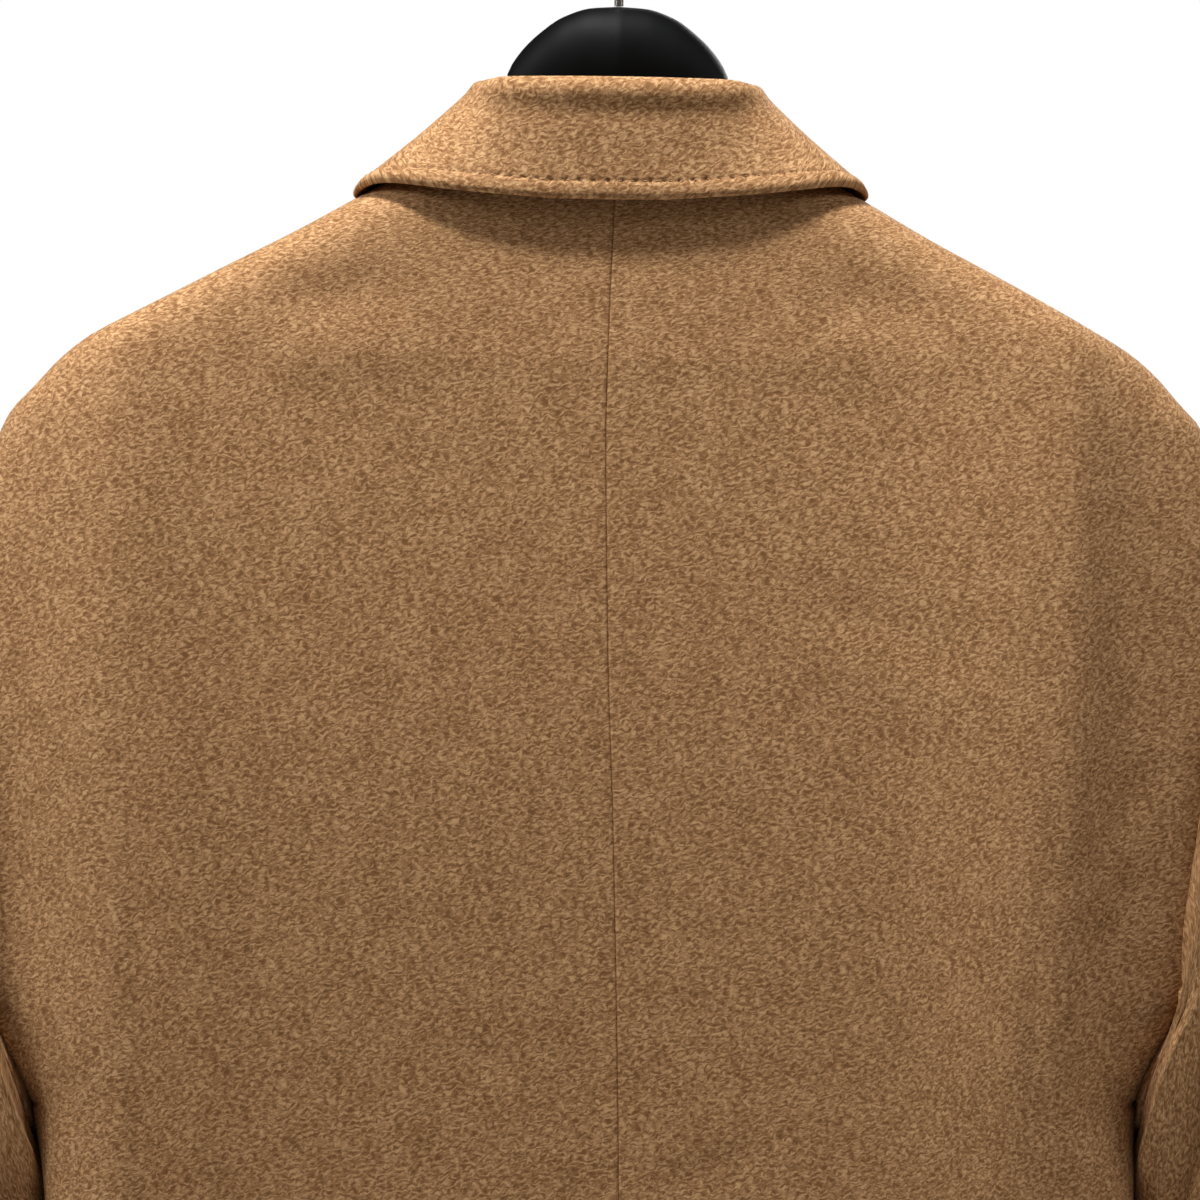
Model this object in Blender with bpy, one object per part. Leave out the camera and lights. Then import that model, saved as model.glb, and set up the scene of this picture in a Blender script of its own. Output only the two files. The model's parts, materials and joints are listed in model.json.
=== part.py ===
"""Double-breasted chesterfield coat, buttoned, hung on a contoured hanger.

Metres, +Z up. The origin is the seat of the hook on its rail. The fronts face -Y,
the back faces +Y and the wearer's left is +X. A drop is a distance below the origin.
"""

import math

import bmesh
import bpy
from mathutils import Matrix, Vector

# Cloth walls and the gaps between pieces
CLOTH = 0.0030
COLLAR_CLOTH = 0.0044
LAPEL_CLOTH = 0.0040
SEAM = 0.0003
SEAT_GAP = 0.0006

# Heights, as drops below the hook's seat
NECK_DROP = 0.137
ARMHOLE_TOP = 0.254
UNDERARM = 0.550
BREAK_DROP = 0.430
GORGE_DROP = 0.214
HEM_DROP = 1.160

# The fronts lap past the centre by FRONT_EDGE and open in a V up to the neck
FRONT_EDGE = 0.085
NECK_EDGE = 0.064
LAP_SINK = 0.0105
LAP_EASE = 0.100
LAP_CLEAR = 0.010
LAP_FROM = 0.175
LAP_OVER = 0.085

# Armhole: half its width, and the steps of its outline from top to underarm
ARMHOLE_HALF = 0.066
ARMHOLE_STEPS = 10

# How the hung coat sits: the left shoulder higher, the right side tucked in under the arm,
# and the middle of the coat swaying aside on its way down
TILT = 0.0155
TILT_FROM = 0.25
TILT_OVER = 0.35
TUCK_FROM_X = 0.100
TUCK_OVER_X = 0.130
TUCK_COLUMNS = ("drop", "aside")
TUCK = (
    (0.250, 0.0000),
    (0.320, 0.0060),
    (0.400, 0.0145),
    (0.499, 0.0265),
    (0.535, 0.0305),
    (0.586, 0.0255),
    (0.700, 0.0180),
    (0.950, 0.0060),
    (1.160, 0.0000),
)
SWAY_COLUMNS = ("drop", "aside")
SWAY = (
    (0.070, 0.0000),
    (0.105, 0.0007),
    (0.160, 0.0022),
    (0.215, 0.0045),
    (0.265, 0.0058),
    (0.353, 0.0049),
    (0.440, 0.0025),
    (0.595, 0.0004),
    (1.160, 0.0003),
)

# Rings of the coat's outer face, from the neck to the hem. Above the armhole the half-width
# follows the shoulder seam. square is the power of the oval: 2 is an ellipse.
RING_COLUMNS = ("drop", "half_width", "back", "front", "square")
RINGS = (
    (NECK_DROP, 0.076, 0.056, 0.050, 2.3),
    (0.157, 0.1150, 0.062, 0.056, 2.4),
    (0.172, 0.1425, 0.066, 0.060, 2.6),
    (0.188, 0.1725, 0.068, 0.063, 2.8),
    (0.199, 0.1935, 0.070, 0.065, 3.0),
    (0.209, 0.2125, 0.071, 0.066, 3.2),
    (0.220, 0.2300, 0.072, 0.068, 3.5),
    (0.230, 0.2415, 0.073, 0.070, 3.8),
    (0.241, 0.2510, 0.074, 0.071, 4.2),
    (ARMHOLE_TOP, 0.2620, 0.076, 0.073, 4.6),
    (0.320, 0.282, 0.079, 0.077, 5.0),
    (0.410, 0.285, 0.082, 0.081, 5.0),
    (0.490, 0.276, 0.084, 0.084, 4.8),
    (UNDERARM, 0.254, 0.085, 0.086, 4.4),
    (0.610, 0.248, 0.084, 0.086, 3.8),
    (0.720, 0.249, 0.084, 0.087, 3.5),
    (0.880, 0.260, 0.088, 0.090, 3.2),
    (1.040, 0.272, 0.094, 0.095, 3.0),
    (HEM_DROP, 0.286, 0.100, 0.100, 3.0),
)
SHOULDER_DROPS = (NECK_DROP, 0.147, 0.157, 0.172, 0.188, 0.199, 0.209, 0.220, 0.230, 0.241)
KNEE = math.radians(38)
FLANK_STEPS = 5
BACK_STEPS = 6
FRONT_STEPS = 11
SKIRT_DROPS = (0.585, 0.630, 0.690, 0.760, 0.850, 0.950, 1.060, HEM_DROP)

# The largest folds: soft troughs running down a face, left positive
FOLD_COLUMNS = ("face", "top_x", "bottom_x", "top", "bottom", "depth", "half_width")
FOLDS = (
    ("back", -0.213, -0.224, 0.232, 0.640, 0.0055, 0.013),
    ("back", 0.208, 0.208, 0.240, 0.660, 0.0030, 0.020),
    ("back", 0.120, 0.150, 0.600, 1.500, 0.0100, 0.050),
    ("back", -0.110, -0.140, 0.640, 1.500, 0.0080, 0.045),
    ("front", 0.160, 0.190, 0.700, 1.500, 0.0090, 0.035),
    ("front", -0.165, -0.190, 0.720, 1.500, 0.0090, 0.035),
)

# Sleeve sections, from armhole to cuff: the outer line, the underarm line and the half depth
SLEEVE_COLUMNS = ("station", "outer_x", "outer", "under_x", "under", "half_depth", "centre_y")
SLEEVE = (
    (0.00, 0.2620, ARMHOLE_TOP, 0.2540, UNDERARM, ARMHOLE_HALF, 0.000),
    (0.08, 0.2800, 0.273, 0.2570, 0.5530, 0.0675, -0.001),
    (0.18, 0.3010, 0.303, 0.2590, 0.5580, 0.071, -0.003),
    (0.30, 0.3200, 0.348, 0.2600, 0.5670, 0.075, -0.006),
    (0.45, 0.3340, 0.420, 0.2605, 0.5850, 0.078, -0.010),
    (0.60, 0.3420, 0.505, 0.2610, 0.6160, 0.079, -0.015),
    (0.75, 0.3460, 0.600, 0.2620, 0.6640, 0.077, -0.019),
    (0.88, 0.3475, 0.700, 0.2650, 0.7300, 0.072, -0.022),
    (1.00, 0.3470, 0.812, 0.2700, 0.8180, 0.064, -0.025),
)
SLEEVE_STEPS = 14
SLEEVE_CROWD = 1.6
ARMHOLE_FADE = 0.30
SLEEVE_SEAM_STEP = 6
SLEEVE_GAP = 0.0009

# Collar stations, from the centre back round to the gorge: where the roll stands over the
# neck seam, and where the free edge of the fall lies over the coat
COLLAR_COLUMNS = ("station", "up", "out", "edge_angle", "edge_drop", "lift")
COLLAR = (
    (0.00, 0.0250, -0.0055, 0.0, 0.1620, 0.0120),
    (0.25, 0.0252, -0.0070, 28.0, 0.1618, 0.0115),
    (0.50, 0.0262, -0.0130, 60.0, 0.1580, 0.0080),
    (0.65, 0.0266, -0.0165, 87.0, 0.1540, 0.0036),
    (0.80, 0.0160, -0.0060, 127.0, 0.1690, 0.0034),
    (1.00, 0.0015, 0.0060, 158.5, 0.2350, 0.0036),
)
COLLAR_STEPS = 14
COLLAR_FRONT_STATION = 0.80
COLLAR_FRONT_EASE = 0.07
ROLL_RADIUS = 0.004
ROLL_STEPS = 4
FALL_STEPS = 4
FALL_SAG = 0.003
V_EDGE_INSET = 0.0034

# Peaked lapels: the outer edge rises from the break to the peak, and the top dips at the notch
PEAK_X = 0.168
PEAK_DROP = 0.223
NOTCH_DIP = 0.019
NOTCH_SHARE = 0.5
NOTCH_POWER = 4
LAPEL_BELLY = 0.010
LAPEL_LIFT = 0.0011
LAPEL_ROLL = 0.0010
LAPEL_ROLL_SHARE = 0.3
LAPEL_ROWS = 12
LAPEL_COLUMNS = 6
LAPEL_START = 0.06

# Buttons, two columns of three on the left front
BUTTON_RADIUS = 0.0115
BUTTON_THICK = 0.0040
BUTTON_RIM = 0.0010
SHANK_RADIUS = 0.0035
SHANK = 0.0012
BUTTON_SIDES = 20
BUTTON_X = 0.064
BUTTON_DROPS = (0.455, 0.560, 0.665)

# Hanger: half of its top and bottom line up to where the arm lies under the shoulder
HANGER_COLUMNS = ("x", "top", "bottom", "half_depth")
HANGER_NECK = (
    (0.000, 0.0700, 0.1250, 0.0175),
    (0.012, 0.0708, 0.1258, 0.0160),
    (0.024, 0.0747, 0.1280, 0.0150),
    (0.035, 0.0825, 0.1320, 0.0145),
    (0.044, 0.0922, 0.1370, 0.0145),
    (0.050, 0.1020, 0.1420, 0.0150),
    (0.056, 0.1170, 0.1480, 0.0160),
    (0.064, 0.1330, 0.1560, 0.0170),
    (0.078, 0.1448, 0.1660, 0.0180),
)
ARM_FROM_ROW = 2
ARM_TO_ROW = 6
ARM_HEIGHT = 0.025
ARM_HALF_DEPTH = 0.019
ARM_REST = 0.0004
TIP_SHRINK = 0.45
TIP_STEP = 0.005
HANGER_SIDES = 12

# Hook: round wire, its inner top on the origin
WIRE = 0.0020
HOOK_RADIUS = 0.021
HOOK_START = -50.0
HOOK_END = 205.0
HOOK_STEPS = 16
STEM_TOP = 0.056

# Small steps for measuring a slope, how far aside a point may lie on its ring, and the angle
# from which an edge is drawn sharp
SLOPE_STEP = 0.0015
WIDEST_SHARE = 0.999
SHARP_ANGLE = math.radians(50)

# Materials: colour, roughness, metallic
CAMEL_WOOL = ("camel_wool", (0.36, 0.20, 0.09), 0.9, 0.0)
HORN = ("brown_horn_button", (0.09, 0.04, 0.02), 0.35, 0.0)
BLACK_PLASTIC = ("black_moulded_plastic", (0.011, 0.013, 0.013), 0.45, 0.0)
STEEL = ("plated_steel_wire", (0.55, 0.55, 0.54), 0.25, 1.0)


def ease(share):
    """Smooth step from 0 to 1."""
    share = min(max(share, 0.0), 1.0)
    return share * share * (3 - 2 * share)


def blended(before, after):
    """Slope at a table row, flat where the steps on its two sides turn."""
    return 0.0 if before * after <= 0 else 2 * before * after / (before + after)


def along(rows, column, at):
    """A table column's value at a place along the first column, on a curve that never overshoots."""
    places = [row[0] for row in rows]
    values = [row[column] for row in rows]
    last = len(rows) - 1
    steps = [(values[i + 1] - values[i]) / (places[i + 1] - places[i]) for i in range(last)]
    slopes = [steps[0]]
    slopes += [blended(steps[i], steps[i + 1]) for i in range(last - 1)]
    slopes.append(steps[-1])
    if at <= places[0]:
        return values[0] + slopes[0] * (at - places[0])
    if at >= places[-1]:
        return values[-1] + slopes[-1] * (at - places[-1])
    i = next(k for k in range(last) if at <= places[k + 1])
    span = places[i + 1] - places[i]
    t = (at - places[i]) / span
    rise = values[i + 1] - values[i]
    bend = slopes[i] * span * (1 - t) - slopes[i + 1] * span * t
    return values[i] + rise * ease(t) + bend * t * (1 - t)


def within(rows, column, at):
    """As along, but held at the table's first and last row."""
    return along(rows, column, min(max(at, rows[0][0]), rows[-1][0]))


def row_at(rows, columns, at):
    """All of a table's values at a place, by column name."""
    return {column: along(rows, place, at) for place, column in enumerate(columns)}


def ring_value(column, drop):
    return along(RINGS, RING_COLUMNS.index(column), drop)


def fold_depth(face, x, drop):
    """How far the folds press a face inwards."""
    pressed = 0.0
    for row in FOLDS:
        fold = dict(zip(FOLD_COLUMNS, row))
        share = (drop - fold["top"]) / (fold["bottom"] - fold["top"])
        if fold["face"] != face or not 0 < share < 1:
            continue
        centre = fold["top_x"] + (fold["bottom_x"] - fold["top_x"]) * share
        off = (x - centre) / fold["half_width"]
        pressed += fold["depth"] * math.sin(math.pi * share) * math.exp(-off * off)
    return pressed


def lap_sink(x, drop):
    """The right front passes under the left one, so it lies deeper there."""
    covered = ease((x + FRONT_EDGE + LAP_CLEAR + LAP_EASE) / LAP_EASE)
    return LAP_SINK * covered * ease((drop - LAP_FROM) / LAP_OVER)


def ring_point(face, angle, drop, sunk=False):
    """A point of the coat's outer face. The angle runs from the centre (0) to the left side (pi/2)."""
    power = ring_value("square", drop)
    across = math.sin(angle)
    outward = math.cos(angle)
    reach = (abs(across) ** power + abs(outward) ** power) ** (-1 / power)
    x = ring_value("half_width", drop) * reach * across
    depth = ring_value(face, drop) * reach * outward - fold_depth(face, x, drop)
    if sunk:
        depth -= lap_sink(x, drop)
    return Vector((x, depth if face == "back" else -depth, -drop))


def angle_at_x(drop, x):
    """Angle of the ring's point that lies x aside from the centre."""
    power = ring_value("square", drop)
    share = min(abs(x) / ring_value("half_width", drop), WIDEST_SHARE)
    return math.copysign(math.atan2(share, (1 - share**power) ** (1 / power)), x)


def angle_at_depth(face, drop, depth):
    """Angle of the ring's point that lies this far from the side seam's plane."""
    power = ring_value("square", drop)
    share = depth / ring_value(face, drop)
    return math.atan2((1 - share**power) ** (1 / power), share)


def armhole_half(drop):
    """Half the armhole's width at a drop, none above and below it."""
    middle = (ARMHOLE_TOP + UNDERARM) / 2
    share = (drop - middle) / (UNDERARM - middle)
    return ARMHOLE_HALF * math.sqrt(max(0.0, 1 - share * share))


def armhole_drop(step):
    middle = (ARMHOLE_TOP + UNDERARM) / 2
    return middle - (UNDERARM - middle) * math.cos(math.pi * step / ARMHOLE_STEPS)


def body_drops():
    armhole = [armhole_drop(step) for step in range(ARMHOLE_STEPS + 1)]
    return list(SHOULDER_DROPS) + armhole + list(SKIRT_DROPS)


def side_angle(face, drop):
    """Where a panel ends: at the shoulder or side seam, or at the armhole."""
    return angle_at_depth(face, drop, armhole_half(drop) + SEAM / 2)


def front_edge_x(drop):
    """The left front's free edge: the V of the neck down to the break, then straight."""
    share = min(max((drop - NECK_DROP) / (BREAK_DROP - NECK_DROP), 0.0), 1.0)
    return NECK_EDGE - (NECK_EDGE + FRONT_EDGE) * share


def hang(point):
    """Tilts the shoulders, tucks the right side in and lets the coat sway aside as it hangs."""
    drop = -point.z
    tilted = TILT * point.x * (1 - ease((drop - TILT_FROM) / TILT_OVER))
    swayed = within(SWAY, SWAY_COLUMNS.index("aside"), drop)
    tucked = within(TUCK, TUCK_COLUMNS.index("aside"), drop)
    tucked *= ease((-point.x - TUCK_FROM_X) / TUCK_OVER_X)
    return Vector((point.x + swayed + tucked, point.y, point.z + tilted))


def body_core(drop):
    """Middle of the coat's ring."""
    return Vector((0, 0, -drop))


def outward_normal(surface, core, u, v):
    """Unit normal of a surface, by small steps to each side, away from its core."""
    du = surface(u + SLOPE_STEP, v) - surface(u - SLOPE_STEP, v)
    dv = surface(u, v + SLOPE_STEP) - surface(u, v - SLOPE_STEP)
    normal = du.cross(dv).normalized()
    return normal if normal.dot(surface(u, v) - core(v)) > 0 else -normal


def material_of(settings):
    name, colour, roughness, metallic = settings
    material = bpy.data.materials.get(name) or bpy.data.materials.new(name)
    material.use_nodes = True
    shader = material.node_tree.nodes["Principled BSDF"]
    shader.inputs["Base Color"].default_value = (*colour, 1.0)
    shader.inputs["Roughness"].default_value = roughness
    shader.inputs["Metallic"].default_value = metallic
    return material


def add_object(name, mesh, settings):
    """Hangs a finished bmesh, faces it outwards and makes it a named object."""
    for vertex in mesh.verts:
        vertex.co = hang(vertex.co)
    bmesh.ops.recalc_face_normals(mesh, faces=mesh.faces)
    data = bpy.data.meshes.new(name)
    mesh.to_mesh(data)
    mesh.free()
    data.shade_smooth()
    data.set_sharp_from_angle(angle=SHARP_ANGLE)
    data.materials.append(material_of(settings))
    made = bpy.data.objects.new(name, data)
    bpy.context.collection.objects.link(made)
    return made


def skin(mesh, loops, closed):
    """Faces between loops of points, as quads. Closed loops also join their ends."""
    rows = [[mesh.verts.new(point) for point in loop] for loop in loops]
    for upper, lower in zip(rows, rows[1:]):
        count = len(upper)
        for i in range(count if closed else count - 1):
            k = (i + 1) % count
            mesh.faces.new((upper[i], upper[k], lower[k], lower[i]))
    return rows


def wall(name, outer, inner, settings=CAMEL_WOOL):
    """A cloth wall between two grids of points with the same rows and columns."""
    mesh = bmesh.new()
    loops = [list(out_row) + list(reversed(in_row)) for out_row, in_row in zip(outer, inner)]
    rows = skin(mesh, loops, closed=True)
    half = len(outer[0])
    for end in (rows[0], rows[-1]):
        for i in range(half - 1):
            mesh.faces.new((end[i], end[i + 1], end[-2 - i], end[-1 - i]))
    return add_object(name, mesh, settings)


def panel(name, surface, core, places):
    """A cloth wall whose outer face is the surface at a grid of (u, v) places."""
    outer = [[surface(u, v) for u, v in row] for row in places]
    inner = [[surface(u, v) - CLOTH * outward_normal(surface, core, u, v) for u, v in row]
             for row in places]
    return wall(name, outer, inner)


def spread(start, end, steps):
    return [start + (end - start) * step / steps for step in range(steps + 1)]


def back_surface(angle, drop):
    return ring_point("back", angle, drop)


def build_back(name, side):
    """One half of the back, from the centre-back seam to the shoulder, armhole and side seams."""
    places = []
    for drop in body_drops():
        angles = spread(angle_at_x(drop, SEAM / 2), KNEE, BACK_STEPS)
        angles += spread(KNEE, side_angle("back", drop), FLANK_STEPS)[1:]
        places.append([(side * angle, drop) for angle in angles])
    panel(name, back_surface, body_core, places)


def front_surface(side):
    """The left front's outer face, or the right one's, which sinks where the left front covers it."""
    return lambda angle, drop: ring_point("front", angle, drop, sunk=side < 0)


def build_front(name, side):
    places = []
    for drop in body_drops():
        free = angle_at_x(drop, front_edge_x(drop))
        flank = side_angle("front", drop)
        knee = max(KNEE, (free + flank) / 2)
        angles = spread(flank, knee, FLANK_STEPS) + spread(knee, free, FRONT_STEPS)[1:]
        places.append([(side * angle, drop) for angle in angles])
    panel(name, front_surface(side), body_core, places)


def lapel_place(side, across, rise):
    """Angle and drop on the front under a lapel's point: across from roll to edge, rise from break."""
    roll_drop = BREAK_DROP + (GORGE_DROP - BREAK_DROP) * rise
    roll_x = front_edge_x(roll_drop)
    edge_x = -FRONT_EDGE + (PEAK_X + FRONT_EDGE) * rise + LAPEL_BELLY * math.sin(math.pi * rise)
    edge_drop = BREAK_DROP + (PEAK_DROP - BREAK_DROP) * rise
    notch = min(across / NOTCH_SHARE, (1 - across) / (1 - NOTCH_SHARE))
    x = roll_x + (edge_x - roll_x) * across
    drop = roll_drop + (edge_drop - roll_drop) * across + NOTCH_DIP * notch * rise**NOTCH_POWER
    return side * angle_at_x(drop, x), drop


def lapel_lift(across):
    """A lapel lies on its front, a little rounder along the roll."""
    return LAPEL_LIFT + LAPEL_ROLL * (1 - ease(across / LAPEL_ROLL_SHARE))


def build_lapel(name, side):
    front = front_surface(side)
    outer = []
    inner = []
    for rise in spread(LAPEL_START, 1.0, LAPEL_ROWS):
        outer_row = []
        inner_row = []
        for across in spread(0.0, 1.0, LAPEL_COLUMNS):
            angle, drop = lapel_place(side, across, rise)
            base = front(angle, drop)
            out = outward_normal(front, body_core, angle, drop)
            inner_row.append(base + out * lapel_lift(across))
            outer_row.append(base + out * (lapel_lift(across) + LAPEL_CLOTH))
        outer.append(outer_row)
        inner.append(inner_row)
    wall(name, outer, inner)


def neck_point(station):
    """The neck seam: round the neck ring to the front panel, then down its V edge to the gorge."""
    drop = NECK_DROP
    if station <= COLLAR_FRONT_STATION:
        last = math.pi - angle_at_x(NECK_DROP, NECK_EDGE)
        angle = last * station / COLLAR_FRONT_STATION
        face = "back" if angle <= math.pi / 2 else "front"
        place = angle if face == "back" else math.pi - angle
    else:
        share = (station - COLLAR_FRONT_STATION) / (1 - COLLAR_FRONT_STATION)
        drop += (GORGE_DROP - NECK_DROP) * share
        face = "front"
        place = angle_at_x(drop, front_edge_x(drop))
    return ring_point(face, place, drop)


def collar_section(station):
    """Middle line of the collar's fold at a station of the left half: stand, roll and fall."""
    value = row_at(COLLAR, COLLAR_COLUMNS, station)
    neck = neck_point(station)
    aside = Vector((neck.x, neck.y, 0)).normalized()
    front_share = ease((station - COLLAR_FRONT_STATION) / COLLAR_FRONT_EASE + 1)
    on_ring = Vector((0, 0, SEAT_GAP)) - aside * (CLOTH / 2)
    off_edge = Vector((-V_EDGE_INSET, 0, 0))
    seat = neck + on_ring * (1 - front_share) + off_edge * front_share
    roll = seat + Vector((0, 0, value["up"])) + aside * value["out"]
    angle = math.radians(value["edge_angle"])
    face = "back" if angle <= math.pi / 2 else "front"
    place = angle if face == "back" else math.pi - angle
    coat = back_surface if face == "back" else front_surface(1)
    edge = coat(place, value["edge_drop"])
    edge += value["lift"] * outward_normal(coat, body_core, place, value["edge_drop"])
    to_seat = (seat - roll).normalized()
    to_edge = (edge - roll).normalized()
    over = -(to_seat + to_edge).normalized()
    aside = (to_edge - over * to_edge.dot(over)).normalized()
    line = [seat, seat.lerp(roll - aside * ROLL_RADIUS, 0.5)]
    for turn in spread(0.0, math.pi, ROLL_STEPS):
        line.append(roll + ROLL_RADIUS * (over * math.sin(turn) - aside * math.cos(turn)))
    start = line[-1]
    fall = (edge - start).normalized()
    off_stand = ((start - seat) - fall * (start - seat).dot(fall)).normalized()
    sag = FALL_SAG * (1 - front_share)
    for share in spread(0.0, 1.0, FALL_STEPS)[1:]:
        line.append(start.lerp(edge, share) - off_stand * sag * math.sin(math.pi * share))
    return line, over.cross(aside)


def thickened(line, along_axis):
    """Both faces of a section's middle line, half the collar's cloth to each side."""
    outer = []
    inner = []
    for i, point in enumerate(line):
        ahead = line[min(i + 1, len(line) - 1)] - line[max(i - 1, 0)]
        side = ahead.cross(along_axis).normalized() * (COLLAR_CLOTH / 2)
        outer.append(point + side)
        inner.append(point - side)
    return outer, inner


def build_collar():
    outer = []
    inner = []
    for station in spread(-1.0, 1.0, 2 * COLLAR_STEPS):
        line, axis = collar_section(abs(station))
        outer_row, inner_row = thickened(line, axis)
        if station < 0:
            outer_row = [Vector((-point.x, point.y, point.z)) for point in outer_row]
            inner_row = [Vector((-point.x, point.y, point.z)) for point in inner_row]
        outer.append(outer_row)
        inner.append(inner_row)
    wall("collar", outer, inner)


def sleeve_point(turn, station):
    """A point of the left sleeve. The turn runs from the outer line (0) over the back (pi/2)."""
    value = row_at(SLEEVE, SLEEVE_COLUMNS, station)
    outer = Vector((value["outer_x"], 0, -value["outer"]))
    under = Vector((value["under_x"], 0, -value["under"]))
    middle = (outer + under) / 2
    point = middle + (outer - middle) * math.cos(turn)
    point.y = value["half_depth"] * math.sin(turn) + value["centre_y"]
    drop = armhole_drop(ARMHOLE_STEPS * math.acos(math.cos(turn)) / math.pi)
    face = "back" if math.sin(turn) >= 0 else "front"
    edge = ring_point(face, angle_at_depth(face, drop, armhole_half(drop)), drop)
    first = dict(zip(SLEEVE_COLUMNS, SLEEVE[0]))
    straight = first["outer_x"] + (first["under_x"] - first["outer_x"]) * (1 - math.cos(turn)) / 2
    fade = 1 - ease(station / ARMHOLE_FADE)
    point.x += (edge.x - straight) * fade + SEAT_GAP * (1 - ease(station))
    return point


def build_sleeve_piece(name, side, first_step, last_step):
    """A sleeve piece between two of its lengthwise seams, counted in armhole steps."""
    step_angle = math.pi / ARMHOLE_STEPS
    inset = SLEEVE_GAP / 2 / ARMHOLE_HALF
    turns = [step * step_angle for step in range(first_step, last_step + 1)]
    turns[0] += inset
    turns[-1] -= inset
    stations = [share**SLEEVE_CROWD for share in spread(0.0, 1.0, SLEEVE_STEPS)]
    places = [[(turn, station) for turn in turns] for station in stations]

    def surface(turn, station):
        point = sleeve_point(turn, station)
        return Vector((side * point.x, point.y, point.z))

    def core(station):
        return (surface(0, station) + surface(math.pi, station)) / 2

    panel(name, surface, core, places)


def button_profile():
    """Half outline of a button, from the cloth up: a shank, then a disc with a raised rim."""
    edge = BUTTON_RIM
    top = SHANK + BUTTON_THICK
    return (
        (SHANK_RADIUS, 0.0),
        (SHANK_RADIUS, SHANK),
        (BUTTON_RADIUS - edge, SHANK),
        (BUTTON_RADIUS, SHANK + edge),
        (BUTTON_RADIUS, top - edge),
        (BUTTON_RADIUS - edge, top),
        (BUTTON_RADIUS - 3 * edge, top),
        (BUTTON_RADIUS - 4 * edge, top - edge),
    )


def build_button(name, x, drop):
    front = front_surface(1)
    angle = angle_at_x(drop, x)
    out = outward_normal(front, body_core, angle, drop)
    turn = Vector((0, 0, 1)).rotation_difference(out).to_matrix().to_4x4()
    seat = front(angle, drop) + Vector((0, -SEAT_GAP, 0))
    mesh = bmesh.new()
    loops = []
    for radius, height in button_profile():
        corners = [2 * math.pi * k / BUTTON_SIDES for k in range(BUTTON_SIDES)]
        loops.append([(radius * math.cos(a), radius * math.sin(a), height) for a in corners])
    rows = skin(mesh, loops, closed=True)
    mesh.faces.new(rows[0])
    mesh.faces.new(rows[-1])
    mesh.transform(Matrix.Translation(seat) @ turn)
    add_object(name, mesh, HORN)


def shoulder_rest(row):
    """Where the hanger's ridge lies under the shoulder seam at a row of the shoulder."""
    drop = SHOULDER_DROPS[row]
    out = outward_normal(back_surface, body_core, math.pi / 2, drop)
    return back_surface(math.pi / 2, drop) - out * (CLOTH + ARM_REST)


def hanger_section(x, top, bottom, half_depth):
    middle = (top + bottom) / 2
    half_height = (bottom - top) / 2
    corners = [2 * math.pi * k / HANGER_SIDES for k in range(HANGER_SIDES)]
    return [Vector((x, half_depth * math.sin(a), -middle + half_height * math.cos(a))) for a in corners]


def build_hanger_body():
    """Domed neck with a centre ridge, and two arms that carry the shoulders."""
    half = list(HANGER_NECK)
    for row in range(ARM_FROM_ROW, ARM_TO_ROW + 1):
        rest = shoulder_rest(row)
        half.append((rest.x, -rest.z, -rest.z + ARM_HEIGHT, ARM_HALF_DEPTH))
    x, top, bottom, half_depth = half[-1]
    shrink = TIP_SHRINK * ARM_HEIGHT / 2
    half.append((x + TIP_STEP, top + shrink, bottom - shrink / 2, half_depth * (1 - TIP_SHRINK)))
    sections = [(-x, *rest) for x, *rest in reversed(half[1:])] + half
    mesh = bmesh.new()
    rows = skin(mesh, [hanger_section(*section) for section in sections], closed=True)
    mesh.faces.new(rows[0])
    mesh.faces.new(rows[-1])
    add_object("hanger_body", mesh, BLACK_PLASTIC)


def hook_line():
    """Middle line of the wire: a stem out of the dome, then an open ring over the rail."""
    centre_drop = HOOK_RADIUS - WIRE
    dome = dict(zip(HANGER_COLUMNS, HANGER_NECK[0]))["top"]
    line = [Vector((0, 0, -dome + SEAM)), Vector((0, 0, -(dome + STEM_TOP) / 2))]
    line.append(Vector((0, 0, -STEM_TOP)))
    line.append(Vector((HOOK_RADIUS / 4, 0, -STEM_TOP + HOOK_RADIUS / 3)))
    for angle in spread(HOOK_START, HOOK_END, HOOK_STEPS):
        turn = math.radians(angle)
        line.append(Vector((HOOK_RADIUS * math.cos(turn), 0, HOOK_RADIUS * math.sin(turn) - centre_drop)))
    return line


def build_hook():
    guide = bpy.data.curves.new("hanger_hook", "CURVE")
    guide.dimensions = "3D"
    guide.bevel_depth = WIRE
    guide.bevel_resolution = 2
    guide.use_fill_caps = True
    spline = guide.splines.new("POLY")
    line = hook_line()
    spline.points.add(len(line) - 1)
    for control, point in zip(spline.points, line):
        control.co = (*hang(point), 1.0)
    guide.materials.append(material_of(STEEL))
    bpy.context.collection.objects.link(bpy.data.objects.new("hanger_hook", guide))


def build_coat():
    full = 2 * ARMHOLE_STEPS
    for name, side in (("left", 1), ("right", -1)):
        build_back(f"back_{name}", side)
        build_front(f"front_{name}", side)
        build_lapel(f"lapel_{name}", side)
        build_sleeve_piece(f"sleeve_upper_{name}", side, -SLEEVE_SEAM_STEP, SLEEVE_SEAM_STEP)
        build_sleeve_piece(f"sleeve_under_{name}", side, SLEEVE_SEAM_STEP, full - SLEEVE_SEAM_STEP)
    build_collar()
    number = 0
    for drop in BUTTON_DROPS:
        for x in (-BUTTON_X, BUTTON_X):
            number += 1
            build_button(f"button_{number}", x, drop)


for old in list(bpy.data.objects):
    bpy.data.objects.remove(old)
build_coat()
build_hanger_body()
build_hook()
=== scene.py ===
"""Double-breasted chesterfield coat on a contoured hanger: cloth shells, sewing and finishes.

Metres, +Z up. The origin is the seat of the hook on its rail. The fronts face -Y, the back
faces +Y and the wearer's left is +X. A drop is a distance below the origin.
"""
import functools
import json
import math

import bmesh
import bpy
import numpy as np
from mathutils import Matrix, Vector

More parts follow.
